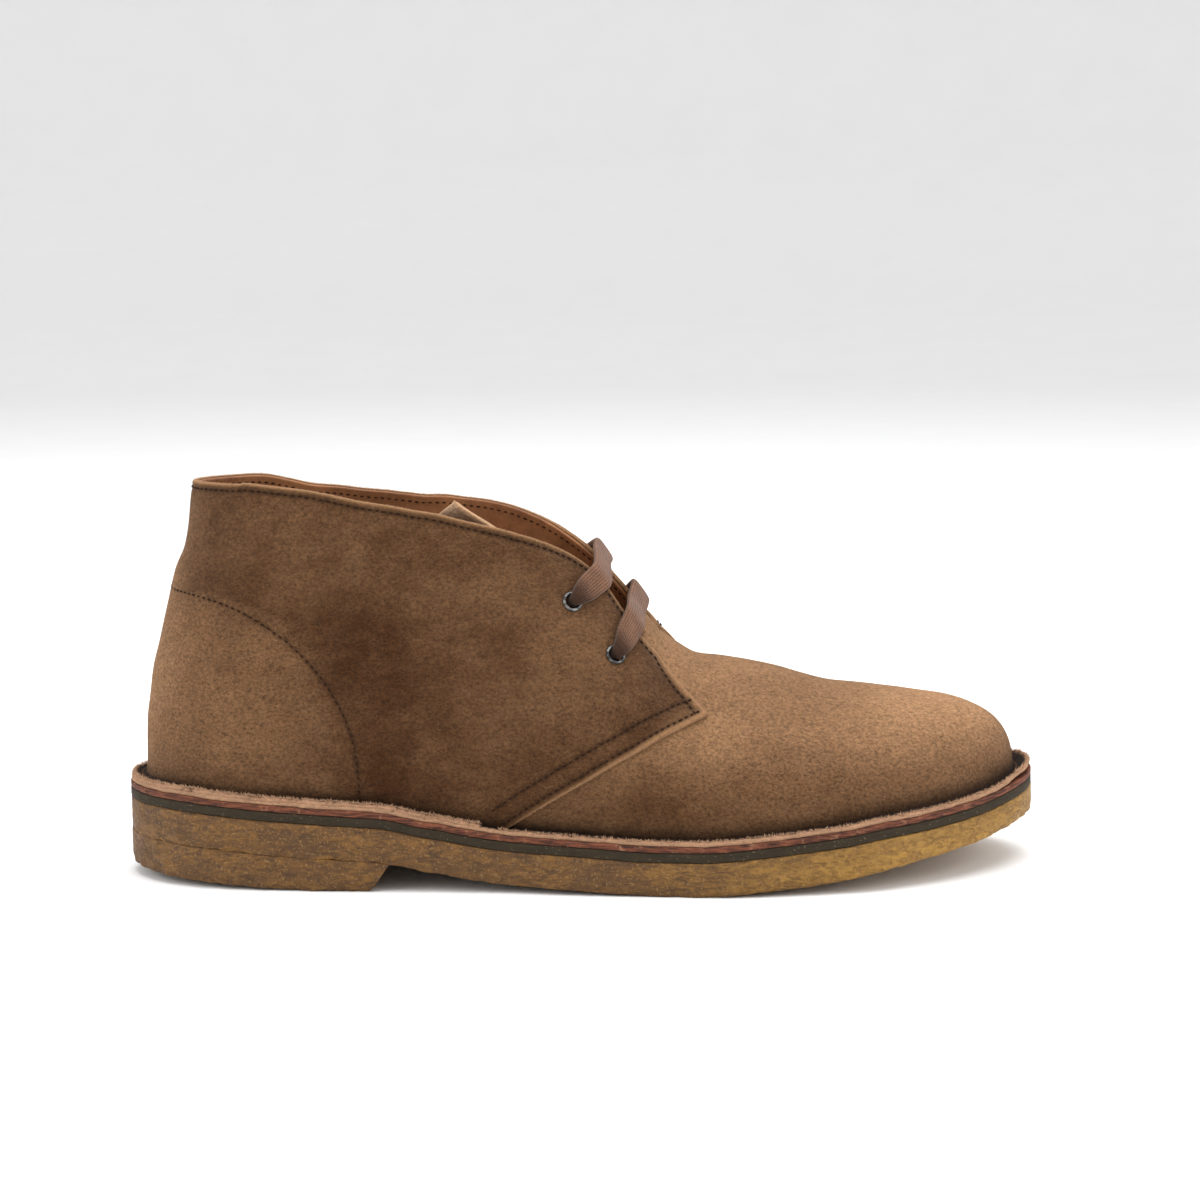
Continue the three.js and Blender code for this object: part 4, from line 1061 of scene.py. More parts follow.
# %% Eyelets
EYELET_SIDES = 40
RING = [  # radius and height over the suede's base
    (2.30, -2.9), (3.2, -2.9), (3.35, -2.6), (3.2, -2.2), (2.62, -2.1), (2.62, 1.3), (3.15, 1.28),
    (3.3, 1.36), (3.34, 1.50), (3.24, 1.72), (3.02, 1.88), (2.8, 1.92), (2.58, 1.86), (2.42, 1.7),
    (2.34, 1.4), (2.30, 1.0),
]


def eyelet_piece(name, side, along, height):
    centre, out = place(share_to_run(along, side), height * SHAFT_HEIGHT, 0.0)
    ahead = np.cross(out, [0, 0, 1])
    ahead /= np.linalg.norm(ahead)
    up = np.cross(out, ahead)
    turn = np.linspace(0, 2 * np.pi, EYELET_SIDES, endpoint=False)[:, None, None]
    radius, depth = np.array(RING).T[:, None, :, None]
    points = centre + radius * (np.cos(turn) * ahead + np.sin(turn) * up) + depth * out
    faces = ring_faces(EYELET_SIDES, len(RING), True)
    return mesh_piece(name, points.reshape(-1, 3), faces)


eyelets = {name: eyelet_piece(name + "_ring", *spot) for name, spot in EYELETS.items()}
print("eyelets:", len(eyelets))

# %% [markdown]
# ## Lace
# The lace is a flat woven cord. Each bar comes up through an outer eyelet, narrow and round where the
# metal squeezes it, spreads out flat over the throat and goes down through the inner eyelet. Its
# texture map runs along the cord in millimetres, so the weave follows every bend.

# %% Places of the lace bars, and their route
LACE_WIDTH = 9.3
LACE_THICKNESS = 2.2
LACE_SLOPE = 1.45
LACE_BARS = {  # side, share along and height share where each bar passes the facings, and its middle
    "lower": {"facings": ((-1, 0.5538, 0.673), (1, 0.561, 0.713)), "middle": (0.5645, 0.705)},
    "upper": {"facings": ((-1, 0.5167, 0.809), (1, 0.519, 0.848)), "middle": (0.5252, 0.870)},
}
LACE_STOPS = [  # share of the way from hole to facing, lift, share of the width and of the thickness
    (0.05, -5.0, 0.36, 1.3), (0.05, -1.2, 0.36, 1.3), (0.10, 1.3, 0.46, 1.3), (0.26, 2.9, 0.72, 1.2),
    (0.5, 3.1, 0.9, 1.1), (0.8, 3.1, 0.97, 1.0), (1.05, 2.9, 1.0, 1.0),
]
LACE_STATIONS = 150
LACE_ROUND = 33


def lace_route(key, bar):
    """Points of the middle line, with the width and the thickness of the cord at each."""
    half = []
    for over in bar["facings"]:
        side, hole_along, hole_height = EYELETS[f"eyelet_{SIDES[over[0]]}_{key}"]
        stops = []
        for share, lift, width, thick in LACE_STOPS:
            along = hole_along + (over[1] - hole_along) * share
            height = hole_height + (over[2] - hole_height) * share
            point, _ = place(share_to_run(along, side), height * SHAFT_HEIGHT, lift)
            stops.append((point, width, thick))
        half.append(stops)
    along, height = bar["middle"]
    middle = np.array([
        along * LAST_LENGTH, BALL_WIDTH * float(plan["ridge"](along)),
        float(feather_level(along)) + SHAFT_HEIGHT * height,
    ])
    return half[0] + [(middle, 1.0, 1.0)] + half[1][::-1]


# %% A smooth line through a few points
def catmull(points, count):
    """A smooth line through points, evenly sampled."""
    knots = np.r_[0, np.cumsum(np.linalg.norm(np.diff(points[:, :3], axis=0), axis=1) ** 0.5)]
    padded = np.r_[[2 * points[0] - points[1]], points, [2 * points[-1] - points[-2]]]
    times = np.r_[-knots[1], knots, 2 * knots[-1] - knots[-2]]
    dense = []
    for i in range(1, len(padded) - 2):
        t = np.linspace(times[i], times[i + 1], 24, endpoint=False)[:, None]
        t0, t1, t2, t3 = times[i - 1 : i + 3]
        a1 = (t1 - t) / (t1 - t0) * padded[i - 1] + (t - t0) / (t1 - t0) * padded[i]
        a2 = (t2 - t) / (t2 - t1) * padded[i] + (t - t1) / (t2 - t1) * padded[i + 1]
        a3 = (t3 - t) / (t3 - t2) * padded[i + 1] + (t - t2) / (t3 - t2) * padded[i + 2]
        b1 = (t2 - t) / (t2 - t0) * a1 + (t - t0) / (t2 - t0) * a2
        b2 = (t3 - t) / (t3 - t1) * a2 + (t - t1) / (t3 - t1) * a3
        dense.append((t2 - t) / (t2 - t1) * b1 + (t - t1) / (t2 - t1) * b2)
    dense = np.concatenate(dense + [points[-1:]])
    length = np.r_[0, np.cumsum(np.linalg.norm(np.diff(dense[:, :3], axis=0), axis=1))]
    even = np.linspace(0, length[-1], count)
    return np.stack([np.interp(even, length, column) for column in dense.T], -1), even


# %% The flat cord round its route
def lace_piece(key, bar):
    route = np.array([[*point, width, thick] for point, width, thick in lace_route(key, bar)])
    line, length = catmull(route, LACE_STATIONS)
    centre, width, thick = line[:, :3], line[:, 3] * LACE_WIDTH / 2, line[:, 4] * LACE_THICKNESS / 2
    tangent = np.gradient(centre, axis=0)
    tangent /= np.linalg.norm(tangent, axis=1, keepdims=True)
    throat = np.array([-1, 0, LACE_SLOPE]) / math.hypot(1, LACE_SLOPE)
    across = np.broadcast_to(throat, centre.shape)
    out = np.cross(across, tangent)
    out /= np.linalg.norm(out, axis=1, keepdims=True)
    turn = np.linspace(0, 2 * np.pi, LACE_ROUND)
    flat_x = np.sign(np.cos(turn)) * np.abs(np.cos(turn)) ** 0.55
    flat_y = np.sign(np.sin(turn)) * np.abs(np.sin(turn)) ** 0.8
    points = (
        centre[:, None]
        + (width[:, None] * flat_x)[..., None] * across[:, None]
        + (thick[:, None] * flat_y)[..., None] * out[:, None]
    )
    faces = patch_faces(*points.shape[:2]).reshape(-1, 4).tolist()
    uv = np.stack(np.broadcast_arrays(flat_x[None] * LACE_WIDTH / 2, length[:, None]), -1)
    # free is 0 at both ends and 1 on the open part of the bar; the finish darkens the lace where it is low,
    # as painted shade where the lace dips into the eyelets.
    free = smooth(np.minimum(length, length[-1] - length), 6.0, 16.0)
    free = np.broadcast_to(free[:, None], points.shape[:2])
    return mesh_piece(f"lace_{key}", points.reshape(-1, 3), faces, {"free": free}, uv.reshape(-1, 2))


laces = {key: lace_piece(key, bar) for key, bar in LACE_BARS.items()}
print("lace bars:", len(laces))


# %% [markdown]
# ## Finishes
# Every finish is a small node tree. To keep the sums readable, a class wraps a socket, so that
# adding or multiplying two values makes the Math nodes. Colours are mixed by their own method.

# %% A node, and a wrapped value
def tree_node(tree, kind, settings=None, inputs=None):
    """A node with its settings made first, then its sockets filled with values or links."""
    node = tree.nodes.new(kind)
    for key, value in (settings or {}).items():
        setattr(node, key, value)
    for key, value in (inputs or {}).items():
        if isinstance(value, bpy.types.NodeSocket):
            tree.links.new(value, node.inputs[key])
        else:
            node.inputs[key].default_value = value
    return node


class Value:
    """A number that changes over the surface: the output socket of a node."""

    def __init__(self, finish, socket):
        self.finish = finish
        self.socket = socket

    def sum_with(self, operation, first, second):
        return self.finish.node("ShaderNodeMath", {"operation": operation}, {0: first, 1: second})

    def __add__(self, other):
        return self.sum_with("ADD", self, other)

    def __radd__(self, other):
        return self.sum_with("ADD", other, self)

    def __sub__(self, other):
        return self.sum_with("SUBTRACT", self, other)

    def __rsub__(self, other):
        return self.sum_with("SUBTRACT", other, self)

    def __mul__(self, other):
        return self.sum_with("MULTIPLY", self, other)

    def function(self, operation):
        """A function of this number alone, such as its sine or its sign."""
        return self.finish.node("ShaderNodeMath", {"operation": operation}, {0: self})


# %% A finish
class Finish:
    """A material whose nodes are all made by one method."""

    def __init__(self, name, roughness, **constants):
        self.material = bpy.data.materials.new(name)
        self.material.use_nodes = True
        self.tree = self.material.node_tree
        self.shader = self.tree.nodes["Principled BSDF"]
        self.shader.inputs["Roughness"].default_value = roughness
        for key, value in constants.items():
            self.shader.inputs[key.replace("_", " ")].default_value = value
        place = self.node("ShaderNodeTexCoord", {}, {}, "Object")
        self.mm = self.node("ShaderNodeVectorMath", {"operation": "SCALE"}, {0: place, "Scale": 1000.0})

    def node(self, kind, settings, inputs, output=0):
        plain = {key: value.socket if isinstance(value, Value) else value for key, value in inputs.items()}
        return Value(self, tree_node(self.tree, kind, settings, plain).outputs[output])

    def noise(self, size, detail=2.0, where=None, roughness=0.5, warp=0.0):
        """Soft noise from 0 to 1 with bumps of about a size in millimetres."""
        inputs = {
            "Vector": where or self.mm, "Scale": 1 / size, "Detail": detail, "Roughness": roughness,
            "Distortion": warp,
        }
        return self.node("ShaderNodeTexNoise", {}, inputs)

    def stretched(self, x, y, z):
        """The place in millimetres, stretched so that a pattern gets longer along an axis."""
        inputs = {0: self.mm, 1: (1 / x, 1 / y, 1 / z)}
        return self.node("ShaderNodeVectorMath", {"operation": "MULTIPLY"}, inputs)

    def along(self, axis):
        return self.node("ShaderNodeSeparateXYZ", {}, {0: self.mm}, axis)

    def step(self, value, low, high, kind="SMOOTHSTEP"):
        """0 below one number, 1 above another, and a step between them."""
        inputs = {"Value": value, "From Min": low, "From Max": high}
        return self.node("ShaderNodeMapRange", {"interpolation_type": kind}, inputs)

    def kept(self, name):
        """A number kept at the points of the mesh."""
        return self.node("ShaderNodeAttribute", {"attribute_name": name}, {}, "Fac")

    def mix(self, share, first, second, blend="MIX"):
        """A colour between two others."""
        settings = {"data_type": "RGBA", "blend_type": blend}
        return self.node("ShaderNodeMix", settings, {0: share, 6: first, 7: second}, 2)

    def wear(self, socket, value):
        self.tree.links.new(value.socket, self.shader.inputs[socket])

    def bump(self, height, distance, strength=1.0):
        """Relief of a height in millimetres."""
        inputs = {"Height": height, "Distance": distance * MM, "Strength": strength}
        self.wear("Normal", self.node("ShaderNodeBump", {}, inputs))


def paint(red, green, blue):
    """A colour given as on a screen, from 0 to 255, in the linear light that shaders use."""
    def light(part):
        part = part / 255
        return part / 12.92 if part <= 0.04045 else ((part + 0.055) / 1.055) ** 2.4
    return (light(red), light(green), light(blue), 1.0)


print("a middle brown in linear light:", [round(part, 3) for part in paint(120, 80, 50)])

# %% [markdown]
# ## Suede
# Suede is leather with its fibres brushed up. Where the nap lies one way it looks dark, the other way
# light, so it has soft cloudy patches, a fine fibrous speckle and a soft sheen, but no gloss.

# %% Suede, with kept tones and light cut edges
def grey(part):
    return (part, part, part, 1.0)


def suede(name, dark, light, edge, speck=1.0):
    finish = Finish(name, 0.95, Sheen_Weight=0.04, Sheen_Roughness=0.6, Specular_IOR_Level=0.06)
    cloud = finish.noise(24, 3.0, warp=0.6) - 0.5
    brushed = finish.noise(6, 4.0, finish.stretched(1.6, 1.0, 0.8), warp=0.5) - 0.5
    grain = finish.noise(0.95, 3.0, finish.stretched(1.25, 1.25, 0.85), 0.6, 0.3)
    fibre = finish.noise(0.36, 3.0, roughness=0.7)
    share = finish.kept("tone") + cloud * 0.20 + brushed * 0.22
    colour = finish.mix(finish.step(share, 0.0, 1.0, "LINEAR"), dark, light)
    fleck = finish.step(grain * 0.5 + fibre * 0.5, 0.38, 0.62, "LINEAR")
    grains = finish.mix(fleck, grey(1 - 0.42 * speck), grey(1 + 0.50 * speck))
    colour = finish.mix(1.0, colour, grains, "MULTIPLY")
    edge_share = finish.kept("edge") * (finish.noise(0.8, 2.0) * 0.8 + 0.35)
    colour = finish.mix(edge_share, colour, edge)
    # Painted shade: where the kept number row is high, the colour is multiplied darker, in the thread grooves
    # and at the foot of the wall.
    colour = finish.mix(finish.kept("row") * 0.9, colour, finish.mix(1.0, colour, grey(0.26), "MULTIPLY"))
    finish.wear("Base Color", colour)
    finish.bump(grain * 0.8 + fibre * 0.45 + brushed * 0.8, 0.9, 0.9)
    return finish.material


SUEDE_DARK = paint(62, 37, 17)
SUEDE_LIGHT = paint(168, 128, 92)
SUEDE_EDGE = paint(164, 124, 88)
finishes = {
    "suede": suede("suede", SUEDE_DARK, SUEDE_LIGHT, SUEDE_EDGE, 1.15),
    # The tongue's light colour shows mainly at its corner, where it is partly painted light.
    "tongue_suede": suede("tongue_suede", paint(70, 46, 30), paint(206, 172, 140), SUEDE_EDGE, 0.6),
    # The turned strip's near-black dark colour stands for painted shade in its groove beside the wall.
    "turned_suede": suede("turned_suede", paint(30, 17, 10), paint(166, 126, 98), paint(174, 136, 106), 1.7),
}
print("suedes:", ", ".join(finishes))

# %% [markdown]
# ## Leathers
# The lining is smooth brown leather with fine grain. The sheet under the turned edge is a cheaper,
# red-brown split leather, so its edge is mottled and fibrous.

# %% Lining and sheet leather
def lining_leather():
    finish = Finish("lining_leather", 0.55, Specular_IOR_Level=0.35)
    grain = finish.node("ShaderNodeTexVoronoi", {}, {"Vector": finish.mm, "Scale": 1 / 0.9})
    cloud = finish.noise(16, 3.0)
    wear = finish.noise(3.5, 3.0)
    tone = cloud * 0.7 + wear * 0.4 + grain * 0.12
    colour = finish.mix(finish.step(tone, 0.25, 0.95), paint(104, 62, 34), paint(158, 106, 66))
    finish.wear("Base Color", colour)
    finish.wear("Roughness", 0.45 + cloud * 0.25)
    finish.bump(grain * 0.5 + wear, 0.12, 0.7)
    return finish.material


def sheet_leather():
    finish = Finish("sheet_leather", 0.75, Specular_IOR_Level=0.3)
    layers = finish.noise(1.6, 3.0, finish.stretched(3.0, 3.0, 0.35), warp=0.5)
    spots = finish.noise(2.6, 4.0, roughness=0.7)
    colour = finish.mix(finish.step(layers, 0.3, 0.7), paint(50, 24, 14), paint(116, 64, 42))
    colour = finish.mix(finish.step(spots, 0.56, 0.68) * 0.7, colour, paint(150, 104, 76))
    finish.wear("Base Color", colour)
    finish.bump(layers + spots * 0.6, 0.22, 0.9)
    return finish.material


finishes["lining_leather"] = lining_leather()
finishes["sheet_leather"] = sheet_leather()
print("finishes so far:", ", ".join(finishes))

# %% [markdown]
# ## Rubbers
# The thin middle sheet is dark grey rubber with pale dust along it. Crepe is raw rubber, milky and
# honey yellow, with a wrinkled, pebbly cut edge. Use greys it, most of all round the heel.

# %% Sheet rubber and crepe
def sheet_rubber():
    finish = Finish("sheet_rubber", 0.8, Specular_IOR_Level=0.25)
    streak = finish.noise(2.4, 3.0, finish.stretched(2.5, 2.5, 0.6))
    dust = finish.noise(0.7, 2.0)
    colour = finish.mix(streak, paint(29, 24, 14), paint(56, 45, 29))
    colour = finish.mix(finish.step(dust, 0.64, 0.74) * 0.6, colour, paint(128, 112, 88))
    finish.wear("Base Color", colour)
    finish.bump(streak + dust * 0.4, 0.18, 0.8)
    return finish.material


def crepe_rubber():
    finish = Finish("crepe_rubber", 0.55, Specular_IOR_Level=0.4)
    wrinkle = finish.noise(2.0, 4.0, finish.stretched(2.2, 2.2, 0.8), warp=1.2)
    cells = {"Vector": finish.mm, "Scale": 1 / 1.6}
    pebble = finish.node("ShaderNodeTexVoronoi", {"feature": "SMOOTH_F1"}, cells)
    dirt = finish.noise(10, 4.0, finish.stretched(2.0, 2.0, 0.6), roughness=0.6)
    grit = finish.noise(0.8, 3.0, roughness=0.6)
    clean = finish.step(finish.along("X"), 0, 150)
    low = 1 - finish.step(finish.along("Z"), 6, 20)
    colour = finish.mix(finish.step(wrinkle, 0.25, 0.75), paint(70, 44, 14), paint(120, 81, 28))
    yellow = finish.mix(finish.step(wrinkle, 0.2, 0.8), paint(122, 82, 20), paint(182, 140, 58))
    colour = finish.mix(clean * 0.55 + clean * low * 0.35, colour, yellow)
    stained = finish.step(dirt - clean * 0.2, 0.42, 0.66)
    colour = finish.mix(stained * 0.5, colour, paint(72, 48, 24))
    colour = finish.mix(finish.step(grit, 0.58, 0.72) * 0.5, colour, paint(62, 44, 28))
    colour = finish.mix(finish.step(grit, 0.44, 0.34) * 0.35, colour, paint(170, 132, 84))
    finish.wear("Base Color", colour)
    finish.wear("Roughness", 0.45 + dirt * 0.35)
    finish.bump(wrinkle * 1.2 + pebble * 0.5 + grit * 0.5, 0.8, 1.0)
    return finish.material


finishes["sheet_rubber"] = sheet_rubber()
finishes["crepe_rubber"] = crepe_rubber()
print("finishes so far:", ", ".join(finishes))

# %% [markdown]
# ## Cotton, thread and metal
# The lace is woven of soft cotton: ribs run along it and small diagonal floats cross them. Its
# pattern reads the lace's own texture map, so it stays the right size round every bend.

# %% Lace cotton
LACE_RIBS = 5


def lace_cotton():
    finish = Finish("lace_cotton", 0.95, Sheen_Weight=0.15, Sheen_Roughness=0.5, Specular_IOR_Level=0.1)
    uv = finish.node("ShaderNodeUVMap", {"uv_map": "UVMap"}, {})
    across = finish.node("ShaderNodeSeparateXYZ", {}, {0: uv}, "X")
    along = finish.node("ShaderNodeSeparateXYZ", {}, {0: uv}, "Y")
    rib = (across * (2 * math.pi * LACE_RIBS / LACE_WIDTH)).function("SINE")
    slant = along * 5.2 + across * rib.function("SIGN") * 3.4
    floats = slant.function("SINE")
    fuzz = finish.noise(0.5, 4.0, roughness=0.7)
    patch = finish.noise(5, 2.0)
    weave = (rib * rib) * 0.6 + floats * 0.1
    tone = weave * 0.5 + fuzz * 0.7 + patch * 0.45
    colour = finish.mix(finish.step(tone, 0.15, 1.15), paint(42, 24, 15), paint(126, 89, 66))
    # Painted shade: towards the eyelets the lace is darkened nearly to black, where it dips into the holes.
    eyelet_shade = 1 - finish.step(finish.kept("free"), 0.0, 1.0)
    finish.wear("Base Color", finish.mix(eyelet_shade * 0.75, colour, paint(28, 15, 9)))
    finish.bump(weave * 0.7 + fuzz * 0.9, 0.38, 0.9)
    return finish.material


def thread(name, colour, worn):
    finish = Finish(name, 0.85, Specular_IOR_Level=0.1)
    twist = finish.noise(0.35, 2.0)
    finish.wear("Base Color", finish.mix(twist, colour, worn))
    finish.bump(twist, 0.15, 0.7)
    return finish.material


def eyelet_metal():
    finish = Finish("eyelet_metal", 0.38, Metallic=1.0)
    worn = finish.noise(1.4, 3.0)
    scratch = finish.noise(0.4, 2.0, finish.stretched(4, 1, 1))
    share = finish.step(worn, 0.4, 0.7)
    finish.wear("Base Color", finish.mix(share, paint(62, 62, 62), paint(126, 126, 124)))
    finish.wear("Roughness", 0.28 + scratch * 0.3)
    finish.bump(scratch, 0.03, 0.6)
    return finish.material


finishes["lace_cotton"] = lace_cotton()
finishes["dark_thread"] = thread("dark_thread", paint(26, 14, 7), paint(52, 32, 18))
finishes["tan_thread"] = thread("tan_thread", paint(70, 48, 34), paint(112, 84, 62))
finishes["fibre"] = thread("fibre", paint(134, 98, 70), paint(206, 170, 138))
finishes["eyelet_metal"] = eyelet_metal()
print("finishes:", ", ".join(finishes))

# %% [markdown]
# ## Stitching
# Hundreds of equal stitches follow the seams, so Geometry Nodes make them. The input is a line of
# points that remembers the outward direction at each point. The tree resamples it at the stitch
# pitch, puts a small squashed sphere on every point, turns it along the line and makes it real.

# %% The stitching tree
def new_tree(name, inputs):
    tree = bpy.data.node_groups.new(name, "GeometryNodeTree")
    tree.interface.new_socket("Geometry", in_out="INPUT", socket_type="NodeSocketGeometry")
    for label, kind in inputs:
        tree.interface.new_socket(label, in_out="INPUT", socket_type=kind)
    tree.interface.new_socket("Geometry", in_out="OUTPUT", socket_type="NodeSocketGeometry")
    return tree


def kept_vector(tree, name):
    kind = {"data_type": "FLOAT_VECTOR"}
    return tree_node(tree, "GeometryNodeInputNamedAttribute", kind, {"Name": name}).outputs["Attribute"]


def repeating_tree(name, sides, rings, along_line, shortest):
    """A tree that sets small bodies along a line, or on every point when along_line is false."""
    tree = new_tree(name, [
        ("Pitch", "NodeSocketFloat"), ("Length", "NodeSocketFloat"), ("Width", "NodeSocketFloat"),
        ("Height", "NodeSocketFloat"), ("Finish", "NodeSocketMaterial"),
    ])
    given = tree_node(tree, "NodeGroupInput").outputs
    if along_line:
        line = tree_node(tree, "GeometryNodeMeshToCurve", None, {"Mesh": given["Geometry"]})
        spots = tree_node(
            tree, "GeometryNodeResampleCurve", {"mode": "LENGTH"},
            {"Curve": line.outputs[0], "Length": given["Pitch"]},
        ).outputs[0]
        ahead = tree_node(tree, "GeometryNodeInputTangent").outputs[0]
    else:
        spots = given["Geometry"]
        ahead = kept_vector(tree, "ahead")
    ball_size = {"Segments": sides, "Rings": rings, "Radius": 0.5}
    ball = tree_node(tree, "GeometryNodeMeshUVSphere", None, ball_size)
    turn = tree_node(
        tree, "FunctionNodeAxesToRotation", {"primary_axis": "X", "secondary_axis": "Z"},
        {"Primary Axis": ahead, "Secondary Axis": kept_vector(tree, "out")},
    )
    size = tree_node(
        tree, "ShaderNodeCombineXYZ", None, {"X": given["Length"], "Y": given["Width"], "Z": given["Height"]}
    )
    sizes = {2: shortest, 3: 1.1, "Seed": 5}
    chance = tree_node(tree, "FunctionNodeRandomValue", {"data_type": "FLOAT"}, sizes)
    scaled = tree_node(
        tree, "ShaderNodeVectorMath", {"operation": "SCALE"}, {0: size.outputs[0], "Scale": chance.outputs[1]}
    )
    set_out = tree_node(
        tree, "GeometryNodeInstanceOnPoints", None,
        {
            "Points": spots, "Instance": ball.outputs["Mesh"], "Rotation": turn.outputs[0],
            "Scale": scaled.outputs[0],
        },
    )
    real = tree_node(tree, "GeometryNodeRealizeInstances", None, {"Geometry": set_out.outputs[0]})
    soft = tree_node(tree, "GeometryNodeSetShadeSmooth", None, {"Geometry": real.outputs[0]})
    painted = tree_node(
        tree, "GeometryNodeSetMaterial", None, {"Geometry": soft.outputs[0], "Material": given["Finish"]}
    )
    tree_node(tree, "NodeGroupOutput", None, {0: painted.outputs[0]})
    return tree


STITCHES = repeating_tree("stitches", 8, 5, True, 0.85)
FIBRES = repeating_tree("fibres", 4, 3, False, 0.35)
print("trees:", STITCHES.name, "with", len(STITCHES.nodes), "nodes,", FIBRES.name, "with", len(FIBRES.nodes))


# %% A piece made by a tree
def set_inputs(modifier, values):
    """Give a modifier's inputs by the identifiers of their sockets."""
    for item in modifier.node_group.interface.items_tree:
        if item.in_out == "INPUT" and item.name in values:
            modifier[item.identifier] = values[item.name]


def made_plain(piece):
    """Replace a piece's mesh by the result of its modifiers, and drop them."""
    depsgraph = bpy.context.evaluated_depsgraph_get()
    result = bpy.data.meshes.new_from_object(piece.evaluated_get(depsgraph))
    piece.modifiers.clear()
    piece.data = result
    return piece


def repeated(name, tree, points, edges, vectors, sizes, finish):
    """A plain mesh that a tree makes from points in millimetres and vectors kept at them."""
    mesh = bpy.data.meshes.new(name)
    mesh.from_pydata(((points + ORIGIN) * MM).tolist(), edges, [])
    for key, vector in vectors.items():
        attribute = mesh.attributes.new(key, "FLOAT_VECTOR", "POINT")
        attribute.data.foreach_set("vector", vector.astype(np.float32).ravel())
    piece = bpy.data.objects.new(name, mesh)
    scene.collection.objects.link(piece)
    modifier = piece.modifiers.new("repeat", "NODES")
    modifier.node_group = tree
    named = dict(zip(("Pitch", "Length", "Width", "Height"), (size * MM for size in sizes)))
    set_inputs(modifier, {**named, "Finish": finish})
    return made_plain(piece)


def stitched(name, rows, thread, pitch=2.3, length=1.5, width=0.66, height=0.5):
    """Stitches along rows, each row being points and outward directions in millimetres."""
    points = np.concatenate([spots for spots, _ in rows])
    out = np.concatenate([outward for _, outward in rows])
    firsts = np.cumsum([0] + [len(spots) for spots, _ in rows])
    edges = [(i, i + 1) for low, high in zip(firsts[:-1], firsts[1:]) for i in range(low, high - 1)]
    return repeated(name, STITCHES, points, edges, {"out": out}, (pitch, length, width, height), thread)


# %% [markdown]
# ## Rows of thread
# Dark thread holds the quarters and shows inside the collar. A coarser tan thread holds the turned edge
# to the sole, so its stitches are longer and lie in the groove of the strip.

# %% Rows of thread on the upper, inside the collar and round the turned edge
dark_thread = finishes["dark_thread"]
tan_thread = finishes["tan_thread"]
on_quarters = [place(row[:, 0], row[:, 1], QUARTER_STEP - 0.05) for row in quarter_rows.values()]
quarter_thread = stitched("quarter_thread", on_quarters, dark_thread)
in_collar = [place(row[:, 0], row[:, 1], LINING_INNER - 0.02) for row in inside_rows.values()]
lining_thread = stitched("lining_thread", in_collar, dark_thread, pitch=2.3, length=1.4, width=0.6)


def rim_row(shares, sides, out_by, level):
    x, middle, half = outline(shares, out_by)
    z = feather_level(x / LAST_LENGTH) + level
    points = np.stack([x, middle + sides * half, z], -1)
    return points, np.tile([0.0, 0.0, 1.0], (len(points), 1))


front = rim_half > QUARTER_TURN_END
front_shares = np.r_[rim_half[front], rim_half[front][-2::-1]]
front_sides = np.r_[-np.ones(front.sum()), np.ones(front.sum() - 1)]
rim_rows = [
    rim_row(front_shares, front_sides, 1.25, 0.80),
    rim_row(heel_shares[6:-6], heel_sides[6:-6], 2.15, 2.02),
]
rim_thread = stitched("rim_thread", rim_rows, tan_thread, pitch=3.4, length=2.5, width=0.7, height=0.6)
for piece in (quarter_thread, lining_thread, rim_thread):
    print(piece.name, len(piece.data.polygons), "faces")

# %% [markdown]
# ## Loose fibres
# Cut suede frays. Short fibres stand out of the turned edge, the collar and the seam edges, each one a
# thin stretched body on its own point, with a direction chosen by a seeded generator.

# %% Fibres of the cut edges
chance = np.random.default_rng(17)


def frayed(name, points, out, spread, length, width, finish):
    """Fibres at points, leaning out of the edge by random amounts."""
    ahead = out + spread * chance.normal(size=points.shape)
    ahead /= np.linalg.norm(ahead, axis=1, keepdims=True)
    other = chance.normal(size=points.shape)
    vectors = {"ahead": ahead, "out": other}
    return repeated(name, FIBRES, points, [], vectors, (1, length, width, width), finish)


def rim_fibres(shares, sides, count, out_by, level):
    pick = chance.integers(0, len(shares) - 1, count)
    share = shares[pick] + (shares[pick + 1] - shares[pick]) * chance.random(count)
    grow = out_by - 1.1 * chance.random(count)
    x, middle, half = outline(share, grow)
    z = feather_level(x / LAST_LENGTH) + level + 0.5 * chance.random(count)
    z += toe_curl(x, grow)
    far_x, far_middle, far_half = outline(share, grow + 1)
    out = np.stack([far_x - x, far_middle - middle + sides[pick] * (far_half - half), 1.2 + 0 * x], -1)
    return np.stack([x, middle + sides[pick] * half, z], -1), out


RIM_FIBRES = 2600
front_fibres = rim_fibres(front_shares, front_sides, RIM_FIBRES, 5.3, 1.3)
heel_fibres = rim_fibres(heel_shares, heel_sides, RIM_FIBRES, 5.1, 2.4)
both_points, both_out = (np.concatenate(parts) for parts in zip(front_fibres, heel_fibres))
rim_fray = frayed("rim_fray", both_points, both_out, 0.9, 2.2, 0.2, finishes["fibre"])

cut_points, cut_out = [], []
for side, top_end in {-1: QUARTER_FRONT, 1: 0.56}.items():
    cut_edges = edge_run(quarter_top, side, 0.0, top_end), edge_run(quarter_foot, side, 0.638, 0.43)
    for edge in cut_edges:
        pick = chance.integers(0, len(edge), 4 * len(edge))
        depth = QUARTER_STEP - 0.55 - 0.5 * chance.random(len(pick))
        spots, outward = place(edge[pick, 0], edge[pick, 1], depth)
        cut_points.append(spots)
        cut_out.append(outward * 0.4)
cut_points, cut_out = np.concatenate(cut_points), np.concatenate(cut_out)
edge_fray = frayed("edge_fray", cut_points, cut_out, 0.8, 0.9, 0.12, finishes["fibre"])
print("fibres:", len(both_points) + len(cut_points))


# %% [markdown]
# ## Hand the pieces over
# Each piece takes its finish, rides on the boot's one body and stands for its plain solid.

